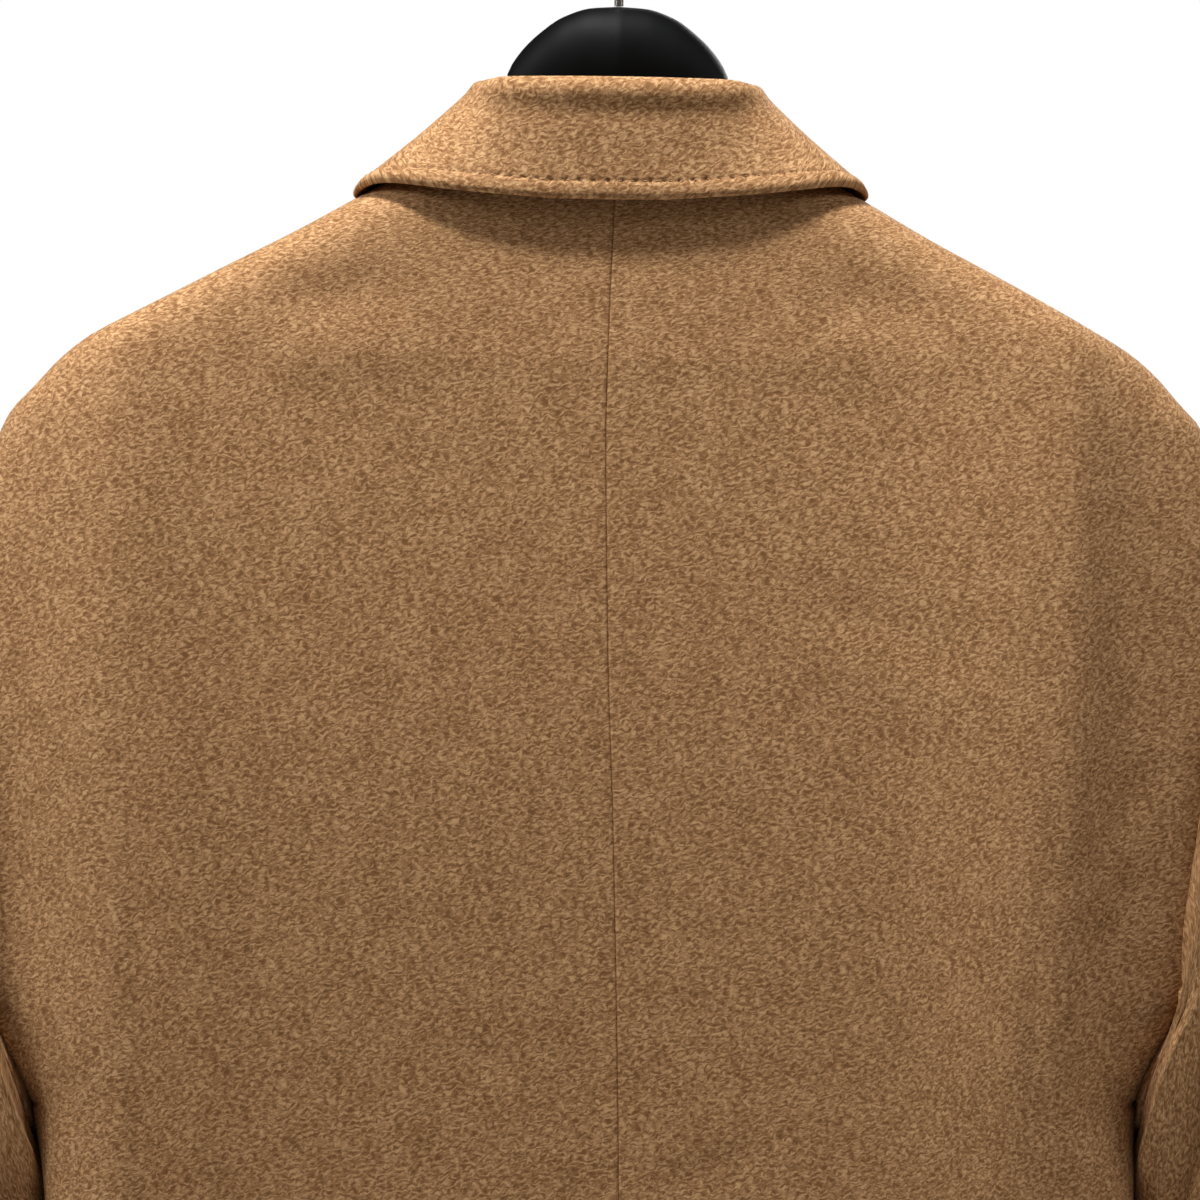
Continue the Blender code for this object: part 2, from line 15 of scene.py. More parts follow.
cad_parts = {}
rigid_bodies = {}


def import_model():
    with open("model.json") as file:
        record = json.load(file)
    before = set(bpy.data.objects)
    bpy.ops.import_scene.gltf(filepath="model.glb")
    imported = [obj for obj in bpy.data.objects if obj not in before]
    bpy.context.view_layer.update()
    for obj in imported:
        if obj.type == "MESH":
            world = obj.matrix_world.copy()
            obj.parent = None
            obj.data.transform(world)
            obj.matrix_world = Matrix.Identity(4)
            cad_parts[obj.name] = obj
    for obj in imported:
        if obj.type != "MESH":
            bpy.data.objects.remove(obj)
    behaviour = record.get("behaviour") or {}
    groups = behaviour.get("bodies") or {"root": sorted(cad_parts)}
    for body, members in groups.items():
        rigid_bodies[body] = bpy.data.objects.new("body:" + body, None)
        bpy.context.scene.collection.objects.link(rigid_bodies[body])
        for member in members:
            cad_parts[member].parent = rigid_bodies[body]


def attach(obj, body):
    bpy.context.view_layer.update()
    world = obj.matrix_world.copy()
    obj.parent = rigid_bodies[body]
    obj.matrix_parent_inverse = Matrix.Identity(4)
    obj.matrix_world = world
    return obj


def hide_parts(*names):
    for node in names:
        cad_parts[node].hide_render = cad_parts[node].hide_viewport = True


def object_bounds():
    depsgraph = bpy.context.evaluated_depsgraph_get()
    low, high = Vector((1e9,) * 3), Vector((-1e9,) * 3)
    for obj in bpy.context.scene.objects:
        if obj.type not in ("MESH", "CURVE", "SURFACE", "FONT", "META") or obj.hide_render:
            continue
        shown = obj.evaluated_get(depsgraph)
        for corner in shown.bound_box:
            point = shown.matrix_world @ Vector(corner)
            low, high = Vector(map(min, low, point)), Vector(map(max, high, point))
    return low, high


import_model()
CAD_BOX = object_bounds()

bl_info = {
    "name": "Chesterfield coat",
    "version": (1, 0, 0),
    "blender": (4, 5, 0),
    "location": "3D View > Sidebar > Coat",
    "description": "Dresses a hung double-breasted coat with cloth, sewing, buttons and its hanger",
    "category": "Object",
}

# Heights, as drops below the hook's seat
NECK_DROP = 0.137
ARMHOLE_TOP = 0.255
UNDERARM = 0.550
BREAK_DROP = 0.430
GORGE_DROP = 0.214
HEM_DROP = 1.160

# The fronts lap past the centre by FRONT_EDGE and open in a V up to the neck
FRONT_EDGE = 0.085
NECK_EDGE = 0.064
LAP_SINK = 0.0105
LAP_EASE = 0.100
LAP_CLEAR = 0.010
LAP_FROM = 0.175
LAP_OVER = 0.085
ARMHOLE_HALF = 0.066
SEAM = 0.0003
SEAM_LAP = 0.0004

# How the hung coat sits: the left shoulder higher, the right side tucked in under the arm,
# and the middle of the coat swaying aside on its way down
TILT = 0.0155
TILT_FROM = 0.25
TILT_OVER = 0.35
TUCK_FROM_X = 0.100
TUCK_OVER_X = 0.130
SWAY_COLUMNS = ("drop", "aside")
SWAY = (
    (0.070, 0.0000),
    (0.105, 0.0007),
    (0.160, 0.0022),
    (0.215, 0.0045),
    (0.265, 0.0058),
    (0.353, 0.0049),
    (0.440, 0.0025),
    (0.595, 0.0004),
    (1.160, 0.0003),
)
TUCK_COLUMNS = ("drop", "aside")
TUCK = (
    (0.250, 0.0000),
    (0.320, 0.0060),
    (0.400, 0.0145),
    (0.499, 0.0265),
    (0.535, 0.0305),
    (0.586, 0.0255),
    (0.700, 0.0180),
    (0.950, 0.0060),
    (1.160, 0.0000),
)

# Rings of the coat's outer face, from the neck to the hem. Above the armhole the half-width
# follows the shoulder seam. square is the power of the oval: 2 is an ellipse.
RING_COLUMNS = ("drop", "half_width", "back", "front", "square")
RINGS = (
    (NECK_DROP, 0.076, 0.0620, 0.050, 2.4),
    (0.1573, 0.1100, 0.0713, 0.056, 5.2),
    (0.1733, 0.1372, 0.0729, 0.060, 6.4),
    (0.1893, 0.1675, 0.0737, 0.063, 6.8),
    (0.2003, 0.1880, 0.0742, 0.065, 6.9),
    (0.2103, 0.2065, 0.0746, 0.066, 6.9),
    (0.2213, 0.2260, 0.0751, 0.068, 6.7),
    (0.2310, 0.2378, 0.0756, 0.070, 6.5),
    (0.2418, 0.2478, 0.0761, 0.071, 6.3),
    (ARMHOLE_TOP, 0.2595, 0.0767, 0.073, 6.1),
    (0.320, 0.282, 0.0790, 0.077, 5.6),
    (0.410, 0.292, 0.0804, 0.081, 5.2),
    (0.490, 0.292, 0.0796, 0.084, 5.0),
    (UNDERARM, 0.254, 0.0780, 0.086, 6.4),
    (0.610, 0.248, 0.0765, 0.086, 6.0),
    (0.720, 0.249, 0.0760, 0.087, 4.2),
    (0.880, 0.260, 0.0825, 0.090, 3.2),
    (1.040, 0.272, 0.094, 0.095, 3.0),
    (HEM_DROP, 0.286, 0.100, 0.100, 3.0),
)

# Creases and swells pressed into a face: a soft trough (depth above 0) or ridge (below 0)
# from one place to another, bowed aside by bend. width is for its left side as it runs, and far
# for its right. x runs to the wearer's left.
CREASE_COLUMNS = ("face", "x0", "drop0", "x1", "drop1", "depth", "width", "far", "bend")
CREASES = (
    ("back", -0.1900, 0.160, -0.2290, 0.740, -0.0175, 0.066, 0.0195, 0.000),
    ("back", 0.2540, 0.170, 0.2380, 0.740, 0.0060, 0.021, 0.023, 0.000),
    ("back", 0.2160, 0.180, 0.2030, 1.050, -0.0215, 0.045, 0.0225, 0.000),
    ("back", 0.0100, 0.230, 0.0000, 1.050, 0.0070, 0.110, 0.110, 0.000),
    ("back", 0.120, 0.600, 0.150, 1.500, 0.0100, 0.050, 0.050, 0.000),
    ("back", -0.110, 0.640, -0.140, 1.500, 0.0080, 0.045, 0.045, 0.000),
    ("back", 0.150, 0.206, 0.085, 0.198, 0.0018, 0.011, 0.011, 0.000),
    ("back", 0.150, 0.230, 0.060, 0.222, -0.0010, 0.012, 0.012, 0.000),
    ("back", -0.085, 0.198, -0.155, 0.207, 0.0013, 0.011, 0.011, 0.000),
    ("back", -0.060, 0.221, -0.150, 0.231, -0.0008, 0.012, 0.012, 0.000),
    ("back", -0.072, 0.330, -0.172, 0.362, 0.0007, 0.009, 0.009, 0.004),
    ("back", -0.075, 0.350, -0.165, 0.385, -0.0007, 0.012, 0.012, 0.004),
    ("back", 0.072, 0.520, 0.040, 0.534, 0.0007, 0.006, 0.006, 0.000),
    ("back", -0.012, 0.585, -0.070, 0.563, 0.0008, 0.007, 0.007, 0.000),
    ("back", -0.245, 0.395, -0.205, 0.455, 0.0014, 0.008, 0.008, 0.003),
    ("back", -0.250, 0.440, -0.212, 0.500, 0.0012, 0.008, 0.008, 0.000),
    ("back", -0.198, 0.470, -0.212, 0.620, 0.0012, 0.006, 0.006, 0.000),
    ("front", 0.160, 0.700, 0.190, 1.500, 0.0090, 0.035, 0.035, 0.000),
    ("front", -0.165, 0.720, -0.190, 1.500, 0.0090, 0.035, 0.035, 0.000),
    ("front", 0.205, 0.300, 0.195, 0.700, 0.0030, 0.018, 0.018, 0.000),
    ("front", -0.205, 0.280, -0.200, 0.690, 0.0035, 0.016, 0.016, 0.000),
    ("front", 0.235, 0.400, 0.175, 0.470, 0.0018, 0.010, 0.010, 0.004),
    ("front", -0.235, 0.405, -0.180, 0.480, 0.0020, 0.010, 0.010, -0.004),
    ("front", 0.120, 0.590, 0.200, 0.640, 0.0012, 0.012, 0.012, 0.006),
    ("front", -0.110, 0.610, -0.190, 0.650, 0.0012, 0.012, 0.012, 0.006),
    ("front", 0.150, 0.480, 0.190, 0.560, -0.0012, 0.016, 0.016, 0.000),
)

# Creases fade towards their ends and keep out of the armhole, easing off below it
CREASE_FADE = 0.7
CREASE_CLEAR = 0.008
FLOOR_FROM = 0.490
FLOOR_OVER = 0.240

# Rows and columns of the body's shells: rows are fine where the photograph looks, and most
# columns keep clear of the armhole
FINE_TO = 0.610
FINE_DOWN = 112
WIDE_DOWN = 60
BACK_ACROSS = 116
FRONT_ACROSS = 74
RING_SAMPLES = 361
CLEAR_FROM = 0.170
CLEAR_OVER = 0.150
INNER_SHARE = 0.92
CROWDING = 1.5

# Sleeve sections, from armhole to cuff: the outer line, the underarm line and the half depth
SLEEVE_COLUMNS = ("station", "outer_x", "outer", "under_x", "under", "half_depth", "centre_y")
SLEEVE = (
    (0.00, 0.2595, ARMHOLE_TOP, 0.2540, UNDERARM, ARMHOLE_HALF, 0.000),
    (0.08, 0.2780, 0.2740, 0.2534, 0.5530, 0.0675, -0.001),
    (0.18, 0.2996, 0.304, 0.2526, 0.5580, 0.071, -0.003),
    (0.30, 0.3194, 0.349, 0.2512, 0.5670, 0.075, -0.006),
    (0.45, 0.3340, 0.420, 0.2492, 0.5850, 0.078, -0.010),
    (0.60, 0.3420, 0.505, 0.2490, 0.6160, 0.079, -0.015),
    (0.75, 0.3460, 0.600, 0.2520, 0.6640, 0.077, -0.019),
    (0.88, 0.3475, 0.700, 0.2590, 0.7300, 0.072, -0.022),
    (1.00, 0.3470, 0.812, 0.2690, 0.8180, 0.064, -0.025),
)
ARMHOLE_FADE = 0.30
SLEEVE_SEAM_TURN = 0.6 * math.pi
SLEEVE_LENGTH = 0.56
SLEEVE_DOWN = 110
UPPER_ACROSS = 74
UNDER_ACROSS = 50
SLEEVE_SAMPLES = 181
SEAT_GAP = 0.0006
# The sleeve swells below its head, and its creases start past the seam
SLEEVE_PUFF = 0.006
PUFF_FULL = 0.07
PUFF_FROM = 0.10
PUFF_OVER = 0.45
CREASED_FROM = 0.08
# The armhole is squarer than an oval at its lower back, and so is the sleeve's upper stretch
BACK_SQUARE = 2.5
SQUARE_FROM = 0.5
SQUARE_TO = 0.50
SQUARE_OVER = 0.40
SLEEVE_CREASE_COLUMNS = ("turn0", "station0", "turn1", "station1", "depth", "turn_width", "station_width")
SLEEVE_CREASES = (
    (2.55, 0.42, 2.10, 0.36, -0.0050, 0.22, 0.050),
    (2.45, 0.58, 2.00, 0.52, 0.0050, 0.22, 0.050),
    (1.20, 0.30, 1.95, 0.46, 0.0020, 0.20, 0.045),
    (0.30, 0.62, 1.40, 0.70, 0.0024, 0.30, 0.026),
    (-0.40, 0.58, -1.50, 0.64, 0.0034, 0.30, 0.026),
    (-0.30, 0.68, -1.60, 0.72, 0.0030, 0.30, 0.022),
    (-1.10, 0.12, -2.00, 0.34, 0.0038, 0.18, 0.035),
    (2.40, 0.10, 3.10, 0.30, 0.0030, 0.20, 0.040),
)

# Collar stations, from the centre back round to the gorge: where the roll stands over the
# neck seam, and where the free edge of the fall lies over the coat
COLLAR_COLUMNS = ("station", "up", "out", "edge_angle", "edge_drop", "lift")
COLLAR = (
    (0.00, 0.0216, 0.0158, 0.0, 0.1615, 0.0072),
    (0.10, 0.0216, 0.0162, 11.0, 0.1612, 0.0072),
    (0.17, 0.0217, 0.0162, 20.0, 0.1600, 0.0074),
    (0.25, 0.0214, 0.0082, 36.0, 0.1580, 0.0078),
    (0.32, 0.0230, -0.0020, 45.0, 0.1574, 0.0070),
    (0.40, 0.0255, -0.0106, 51.0, 0.1573, 0.0050),
    (0.50, 0.0263, -0.0148, 57.0, 0.1572, 0.0030),
    (0.65, 0.0262, -0.0135, 84.0, 0.1562, 0.0012),
    (0.72, 0.0228, -0.0115, 106.0, 0.1560, 0.0014),
    (0.80, 0.0160, -0.0060, 127.0, 0.1690, 0.0034),
    (1.00, 0.0015, 0.0060, 158.5, 0.2350, 0.0036),
)
COLLAR_FRONT_STATION = 0.80
COLLAR_FRONT_EASE = 0.07
V_EDGE_INSET = 0.0034
CAD_CLOTH = 0.0030
# The roll is tighter at the sides than at the back
ROLL_RADIUS = 0.0048
SIDE_RADIUS = 0.0030
SIDE_FROM = 0.20
SIDE_OVER = 0.20
# The fall sags between its roll and its edge, a little less at the sides
FALL_SAG = 0.0015
SAG_PLACE = 0.75
FALL_BOW = 0.0002
BOW_FROM = 0.22
BOW_OVER = 0.33
# The left half hangs a little lower and lies closer, up to the front of the shoulder
LEFT_DROP = 0.0020
LEFT_SETTLE = 0.0004
LEFT_FULL = 0.60
LEFT_TO = 0.70
LEFT_OVER = 0.20
# The band outside the stitches swells, and the fall is hollow under its roll at the back
BAND_RISE = 0.0006
ROLL_HOLLOW = 0.0008
HOLLOW_PLACE = 0.0070
HOLLOW_WIDTH = 0.0055
HOLLOW_TO = 0.60
# Steps over the fold, with places close to the stitches, and stations from end to end
STAND_HEIGHT = 0.030
STAND_STEPS = 5
ROLL_STEPS = 9
FALL_STEPS = 11
FALL_BAND = 0.030
BY_STITCHES = (0.0080, 0.0050, 0.0030, 0.0018, 0.0011, 0.0006, 0.0002, -0.0002, -0.0006, -0.0011, -0.0019)
HALF_COLLAR = 0.33
COLLAR_STATIONS = 861
END_STATIONS = 4

# Peaked lapels: the outer edge rises from the break to the peak, and the top dips at the notch
PEAK_X = 0.168
PEAK_DROP = 0.223
NOTCH_DIP = 0.019
NOTCH_SHARE = 0.5
NOTCH_POWER = 4
LAPEL_BELLY = 0.010
LAPEL_LIFT = 0.0011
LAPEL_START = 0.06
LAPEL_LENGTH = 0.25
LAPEL_UP = 150
LAPEL_ACROSS = 40
LAPEL_SAMPLES = 200
# The narrowest row, at the break, still holds the columns close to both its edges
LAPEL_LEAST = 2.2
# A soft roll lies along the fold
LAPEL_ROLL = 0.0016
LAPEL_ROLL_FROM = 0.004
LAPEL_ROLL_OVER = 0.020

# Topstitching: a shallow groove with a deeper dimple where each stitch goes in, and a flattened
# spindle of thread in it. The last rows at an end are left unsewn.
GROOVE_WIDTH = 0.0009
GROOVE_SHARE = 0.12
DIMPLE_WIDTH = 0.0009
STITCH_END = 0.004
THREAD_WIDTH = 0.0007
THREAD_FLAT = 1.3
COLLAR_STITCH = 0.0020
COLLAR_UNSEWN = (10, 10)
LAPEL_STITCH = 0.0022
LAPEL_UNSEWN = (12, 8)

# Buttons: a turned profile from the disc's back over its rim to its face, as shares of the radius
# and heights over the cloth, then the holes, the thread crossed over them and the sewn shank
BUTTON_X = 0.064
BUTTON_DROPS = (0.455, 0.560, 0.665)
BUTTON_PROFILE = (
    (0.0, 0.0012), (0.62, 0.0012), (0.92, 0.0016), (1.0, 0.0026), (0.985, 0.0040), (0.93, 0.0049),
    (0.86, 0.0050), (0.78, 0.0044), (0.62, 0.0038), (0.30, 0.0036), (0.0, 0.0036),
)
BUTTON_SIDES = 40
BUTTON_SHARP = math.radians(45)
HOLE_TURNS = tuple(math.pi / 4 + k * math.pi / 2 for k in range(4))
HOLE_PLACE = 0.0030
HOLE_RADIUS = 0.0011
HOLE_HEIGHT = 0.0025
HOLE_DEPTH = 0.008
CROSS_HEIGHT = 0.0037
CROSS_STEP = 0.0003
CROSS_SIZE = (0.00055, 0.00065, 0.0036)
SHANK_FOOT = 0.0030
SHANK_TOP = 0.0024
SHANK_LENGTH = 0.0014
SHANK_HEIGHT = 0.0009

# Hanger: half of its top and bottom line, up to where the arm lies under the shoulder
HANGER_COLUMNS = ("x", "top", "bottom", "half_depth")
HANGER_NECK = (
    (0.000, 0.0700, 0.1250, 0.0175),
    (0.012, 0.0708, 0.1258, 0.0160),
    (0.024, 0.0747, 0.1280, 0.0150),
    (0.035, 0.0825, 0.1320, 0.0145),
    (0.044, 0.0922, 0.1370, 0.0145),
    (0.049, 0.1020, 0.1420, 0.0150),
    (0.051, 0.1170, 0.1450, 0.0155),
    (0.058, 0.1330, 0.1510, 0.0165),
    (0.078, 0.1448, 0.1660, 0.0180),
)
ARM_DROPS = (0.1573, 0.1733, 0.1893, 0.2003, 0.2120)
ARM_HEIGHT = 0.025
ARM_HALF_DEPTH = 0.019
ARM_REST = 0.0004
TIP_LENGTH = 0.005
NECK_SPAN = 0.08
NECK_STEPS = 44
ARM_STEPS = 40
TIP_STEPS = 9
HANGER_SIDES = 49

WIRE = 0.0020
HOOK_RADIUS = 0.021
HOOK_START = -50.0
HOOK_END = 205.0
HOOK_STEPS = 17
WIRE_STEPS = 5
STEM_TOP = 0.056

# Stage: lamps round the upper back by width, height and place from what they light, the floor
# under the hung coat, and the camera behind it
LAMP_TARGET = (0.0, 0.08, -0.20)
LAMPS = (
    ("overhead", 0.33, 0.14, (0.20, 0.40, 1.40)),
    ("left", 1.0, 0.6, (1.80, 0.32, 0.90)),
    ("right", 1.0, 0.6, (-1.80, 0.32, 0.90)),
    ("front", 1.6, 1.2, (-1.0, -2.4, 1.2)),
)
FLOOR_SIZE = 4.0
FLOOR_BELOW = 0.30
CAMERA_X = 0.00834
CAMERA_Z = -0.331
SENSOR_MM = 36.0

# Columns close to a sewn or free edge, as shares of the cloth's half thickness
NEAR_EDGE = (0.0, 0.12, 0.36, 0.70, 1.10, 2.2)
SLOPE_STEP = 0.0015
WELD = 0.00001
# Each shell's flat cut lies this much further along the cloth's pattern for each object before it
CUT_STEP = 0.317
MM = 0.001
SIDES = (("left", 1), ("right", -1))


def hex_linear(text):
    """Linear colour of an sRGB hex value."""
    parts = [int(text[place:place + 2], 16) / 255 for place in (1, 3, 5)]
    return (*[p / 12.92 if p <= 0.04045 else ((p + 0.055) / 1.055) ** 2.4 for p in parts], 1.0)


def number_property(name, description, default, unit="LENGTH"):
    """A size, or another number, that a user may change."""
    return bpy.props.FloatProperty(name=name, description=description, default=default, unit=unit)


def colour_property(name, description, text):
    """A colour that a user may change, from its hex value."""
    return bpy.props.FloatVectorProperty(
        name=name, description=description, default=hex_linear(text), subtype="COLOR", size=4)


class CoatSizes(bpy.types.PropertyGroup):
    cloth: number_property("Cloth", "Thickness of the overcoating", 0.0026)
    collar_cloth: number_property("Collar cloth", "Thickness of the two layers of the collar", 0.0044)
    lapel_cloth: number_property("Lapel cloth", "Thickness of the lapels", 0.0038)
    stitch_inset: number_property("Stitch inset", "Distance of the topstitching from an edge", 0.0078)
    stitch_pitch: number_property("Stitch pitch", "Distance from stitch to stitch", 0.0058)
    stitch_depth: number_property("Stitch depth", "How deep a stitch pulls the cloth in", 0.0010)
    button: number_property("Button", "Diameter of a button", 0.023)


class CoatColours(bpy.types.PropertyGroup):
    # Painted shade: the colour of the gaps between the fibres and of dark flecks
    wool_gap_shade: colour_property("Wool, deep", "Colour between the fibres", "#7E5836")
    wool_body: colour_property("Wool, body", "Main colour of the nap", "#A67C54")
    # Painted highlight: the colour of the raised fibre tips and of light flecks, also the tint of the sheen
    wool_tip_highlight: colour_property("Wool, tips", "Colour of the lightest fibres", "#CFA679")
    thread: colour_property("Thread", "Sewing thread", "#A67C54")
    horn_dark: colour_property("Horn, dark", "Dark streaks of the buttons", "#2B1A10")
    horn_light: colour_property("Horn, light", "Light streaks of the buttons", "#6E4A2C")
    hanger: colour_property("Hanger", "Moulded hanger body", "#050606")
    hook: colour_property("Hook", "Plated wire", "#C9C9C6")
    floor: colour_property("Floor", "Studio floor", "#EDEDEB")


class CoatStage(bpy.types.PropertyGroup):
    overhead_power: number_property("Overhead light", "Power of the lamp over the coat", 36.0, "POWER")
    left_power: number_property("Left light", "Power of the soft lamp at the wearer's left", 22.0, "POWER")
    right_power: number_property("Right light", "Power of the soft lamp at the wearer's right", 11.0, "POWER")
    front_power: number_property("Front light", "Power of the soft lamp before the fronts", 40.0, "POWER")
    fill: number_property("Fill", "Strength of the surroundings' light on the coat", 0.09, "NONE")
    floor_glow: number_property("Floor glow", "Keeps the floor pale where the lamps don't reach", 0.62, "NONE")
    fill_colour: colour_property("Fill colour", "Warm light that the room throws back", "#FFE9CE")
    camera_distance: number_property("Camera distance", "From the camera to the coat's middle plane", 2.4)
    frame_width: number_property("Frame width", "Width of the picture at the coat", 0.528)


def ease(share):
    """Smooth step from 0 to 1."""
    share = np.clip(share, 0.0, 1.0)
    return share * share * (3 - 2 * share)


@functools.lru_cache(maxsize=None)
def curve_of(rows, column):
    """Places, values and slopes of a table's column, flat where the steps turn."""
    places = np.array([row[0] for row in rows])
    values = np.array([row[column] for row in rows])
    steps = np.diff(values) / np.diff(places)
    before, after = steps[:-1], steps[1:]
    turning = before * after <= 0
    blended = np.where(turning, 0.0, 2 * before * after / np.where(turning, 1.0, before + after))
    return places, values, np.concatenate(([steps[0]], blended, [steps[-1]]))


def along(rows, columns, column, at):
    """A table column's value at places along the first column, on a curve that never overshoots."""
    places, values, slopes = curve_of(rows, columns.index(column))
    at = np.asarray(at, float)
    i = np.clip(np.searchsorted(places, at) - 1, 0, len(places) - 2)
    span = places[i + 1] - places[i]
    t = (at - places[i]) / span
    inside = np.clip(t, 0.0, 1.0)
    bend = slopes[i] * span * (1 - inside) - slopes[i + 1] * span * inside
    value = values[i] + (values[i + 1] - values[i]) * ease(inside) + bend * inside * (1 - inside)
    past = np.where(t < 0, slopes[0], slopes[-1]) * (t - inside) * span
    return value + past


def within(rows, columns, column, at):
    """As along, but held at the table's first and last row."""
    return along(rows, columns, column, np.clip(at, rows[0][0], rows[-1][0]))


def ring_value(column, drop):
    return along(RINGS, RING_COLUMNS, column, drop)


def crease_depth(face, x, drop):
    """How far the creases press a face inwards."""
    pressed = np.zeros(np.broadcast(x, drop).shape)
    for row in CREASES:
        crease = dict(zip(CREASE_COLUMNS, row))
        if crease["face"] != face:
            continue
        run = np.array((crease["x1"] - crease["x0"], crease["drop1"] - crease["drop0"]))
        length = np.hypot(*run)
        run = run / length
        from_x, from_drop = x - crease["x0"], drop - crease["drop0"]
        share = np.clip((from_x * run[0] + from_drop * run[1]) / length, 0.0, 1.0)
        off = from_drop * run[0] - from_x * run[1] - crease["bend"] * np.sin(math.pi * share)
        off = off / np.where(off < 0, crease["width"], crease["far"])
        pressed = pressed + crease["depth"] * np.sin(math.pi * share) ** CREASE_FADE * np.exp(-off * off)
    return pressed


def lap_sink(x, drop):
    """The right front passes under the left one, so it lies deeper there."""
    covered = ease((x + FRONT_EDGE + LAP_CLEAR + LAP_EASE) / LAP_EASE)
    return LAP_SINK * covered * ease((drop - LAP_FROM) / LAP_OVER)


def ring_point(face, angle, drop, sunk=False):
    """Points of the coat's outer face. The angle runs from the centre (0) to the left side (pi/2)."""
    angle, drop = np.broadcast_arrays(np.asarray(angle, float), np.asarray(drop, float))
    power = ring_value("square", drop)
    across, outward = np.sin(angle), np.cos(angle)
    reach = (np.abs(across) ** power + np.abs(outward) ** power) ** (-1 / power)
    x = ring_value("half_width", drop) * reach * across
    depth = ring_value(face, drop) * reach * outward
    depth = depth - crease_depth(face, x, drop) * ease((depth - crease_floor(face, drop)) / CREASE_CLEAR)
    if sunk:
        depth = depth - lap_sink(x, drop)
    return np.stack((x, depth if face == "back" else -depth, -drop), axis=-1)


def angle_at_x(drop, x):
    """Angle of the ring's point that lies x aside from the centre."""
    power = ring_value("square", drop)
    share = np.minimum(np.abs(x) / ring_value("half_width", drop), 0.999)
    return np.copysign(np.arctan2(share, (1 - share**power) ** (1 / power)), x)


def angle_at_depth(face, drop, depth):
    """Angle of the ring's point that lies this far from the side seam's plane."""
    power = ring_value("square", drop)
    share = depth / ring_value(face, drop)
    return np.arctan2((1 - share**power) ** (1 / power), share)


def armhole_share(level, square):
    """Share of the armhole's half width at a level from its middle (0) to the underarm (1)."""
    power = 2 + square * ease(level / SQUARE_FROM)
    return np.maximum(0.0, 1 - np.abs(np.clip(level, -1.0, 1.0)) ** power) ** (1 / power)


def armhole_half(face, drop):
    """Half the armhole's width at a drop, none above and below it."""
    middle = (ARMHOLE_TOP + UNDERARM) / 2
    level = (drop - middle) / (UNDERARM - middle)
    return ARMHOLE_HALF * armhole_share(level, BACK_SQUARE if face == "back" else 0.0)


def crease_floor(face, drop):
    """Depth that creases keep out from: the armhole's, easing off below it."""
    return armhole_half(face, np.minimum(drop, FLOOR_FROM)) * (1 - ease((drop - FLOOR_FROM) / FLOOR_OVER))


def side_angle(face, drop):
    """Where a panel ends: pressed against the next one at the shoulder, side or armhole seam."""
    return angle_at_depth(face, drop, armhole_half(face, drop)) + SEAM_LAP / ring_value(face, drop)


def front_edge_x(drop):
    """The left front's free edge: the V of the neck down to the break, then straight."""
    share = np.clip((drop - NECK_DROP) / (BREAK_DROP - NECK_DROP), 0.0, 1.0)
    return NECK_EDGE - (NECK_EDGE + FRONT_EDGE) * share


def hang(points):
    """Tilts the shoulders, tucks the right side in and lets the coat sway aside as it hangs."""
    x, y, z = np.moveaxis(np.asarray(points, float), -1, 0)
    tilted = TILT * x * (1 - ease((-z - TILT_FROM) / TILT_OVER))
    swayed = within(SWAY, SWAY_COLUMNS, "aside", -z)
    tucked = within(TUCK, TUCK_COLUMNS, "aside", -z) * ease((-x - TUCK_FROM_X) / TUCK_OVER_X)
    return np.stack((x + swayed + tucked, y, z + tilted), axis=-1)


def unit(vectors):
    return vectors / np.maximum(np.linalg.norm(vectors, axis=-1, keepdims=True), 1e-12)


def outward(surface, core, u, v):
    """Unit normals of a surface, by small steps to each side, on the whole away from its core."""
    du = surface(u + SLOPE_STEP, v) - surface(u - SLOPE_STEP, v)
    dv = surface(u, v + SLOPE_STEP) - surface(u, v - SLOPE_STEP)
    normal = unit(np.cross(du, dv))
    away = np.sum(normal * (surface(u, v) - core(v)), axis=-1)
    return normal if away.mean() > 0 else -normal


def body_core(drop):
    """Middle of the coat's ring."""
    zero = np.zeros_like(drop)
    return np.stack((zero, zero, -drop), axis=-1)


def run_lengths(points, axis):
    """Length along rows (axis 1) or columns (axis 0) of a grid of points, from its start."""
    steps = np.linalg.norm(np.diff(points, axis=axis), axis=-1)
    return np.concatenate((np.zeros_like(np.take(steps, [0], axis)), np.cumsum(steps, axis)), axis)


def line_lengths(points):
    """Length along a line of points, from its start."""
    return run_lengths(points[None], 1)[0]


def near_edges(thick):
    """Places close to an edge of a cloth of this thickness."""
    return np.asarray(NEAR_EDGE) * thick / 2


def spaced(length, near, count):
    """Places along a run: close together near both ends and even between."""
    middle = np.linspace(near[-1], length - near[-1], count + 2)[1:-1]
    return np.concatenate((near, middle, length - near[::-1]))


def smooth_data(name, shape):
    """Mesh data of a finished bmesh, smooth all over."""
    for face in shape.faces:
        face.smooth = True
    data = bpy.data.meshes.new(name)
    shape.to_mesh(data)
    shape.free()
    return data


def link(made, material):
    """Adds a finished object to the scene, with its material, on the coat's one body."""
    made.data.materials.append(material)
    bpy.context.collection.objects.link(made)
    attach(made, "root")
    return made


def add_object(name, shape, material):
    """A finished bmesh as an object of the scene."""
    return link(bpy.data.objects.new(name, smooth_data(name, shape)), material)


def stand_for(made, node):
    """Lets a piece take the place of a CAD node by hiding that node."""
    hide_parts(node)


def grid_into(shape, columns, rows):
    """A flat grid in a bmesh, with the row and column of each of its vertices."""
    start = len(shape.verts)
    bmesh.ops.create_grid(shape, x_segments=columns - 1, y_segments=rows - 1, size=0.5, calc_uvs=True)
    shape.verts.ensure_lookup_table()
    places = np.array([vertex.co[:2] for vertex in shape.verts[start:]]) + 0.5
    return np.rint(places[:, 1] * (rows - 1)).astype(int), np.rint(places[:, 0] * (columns - 1)).astype(int)


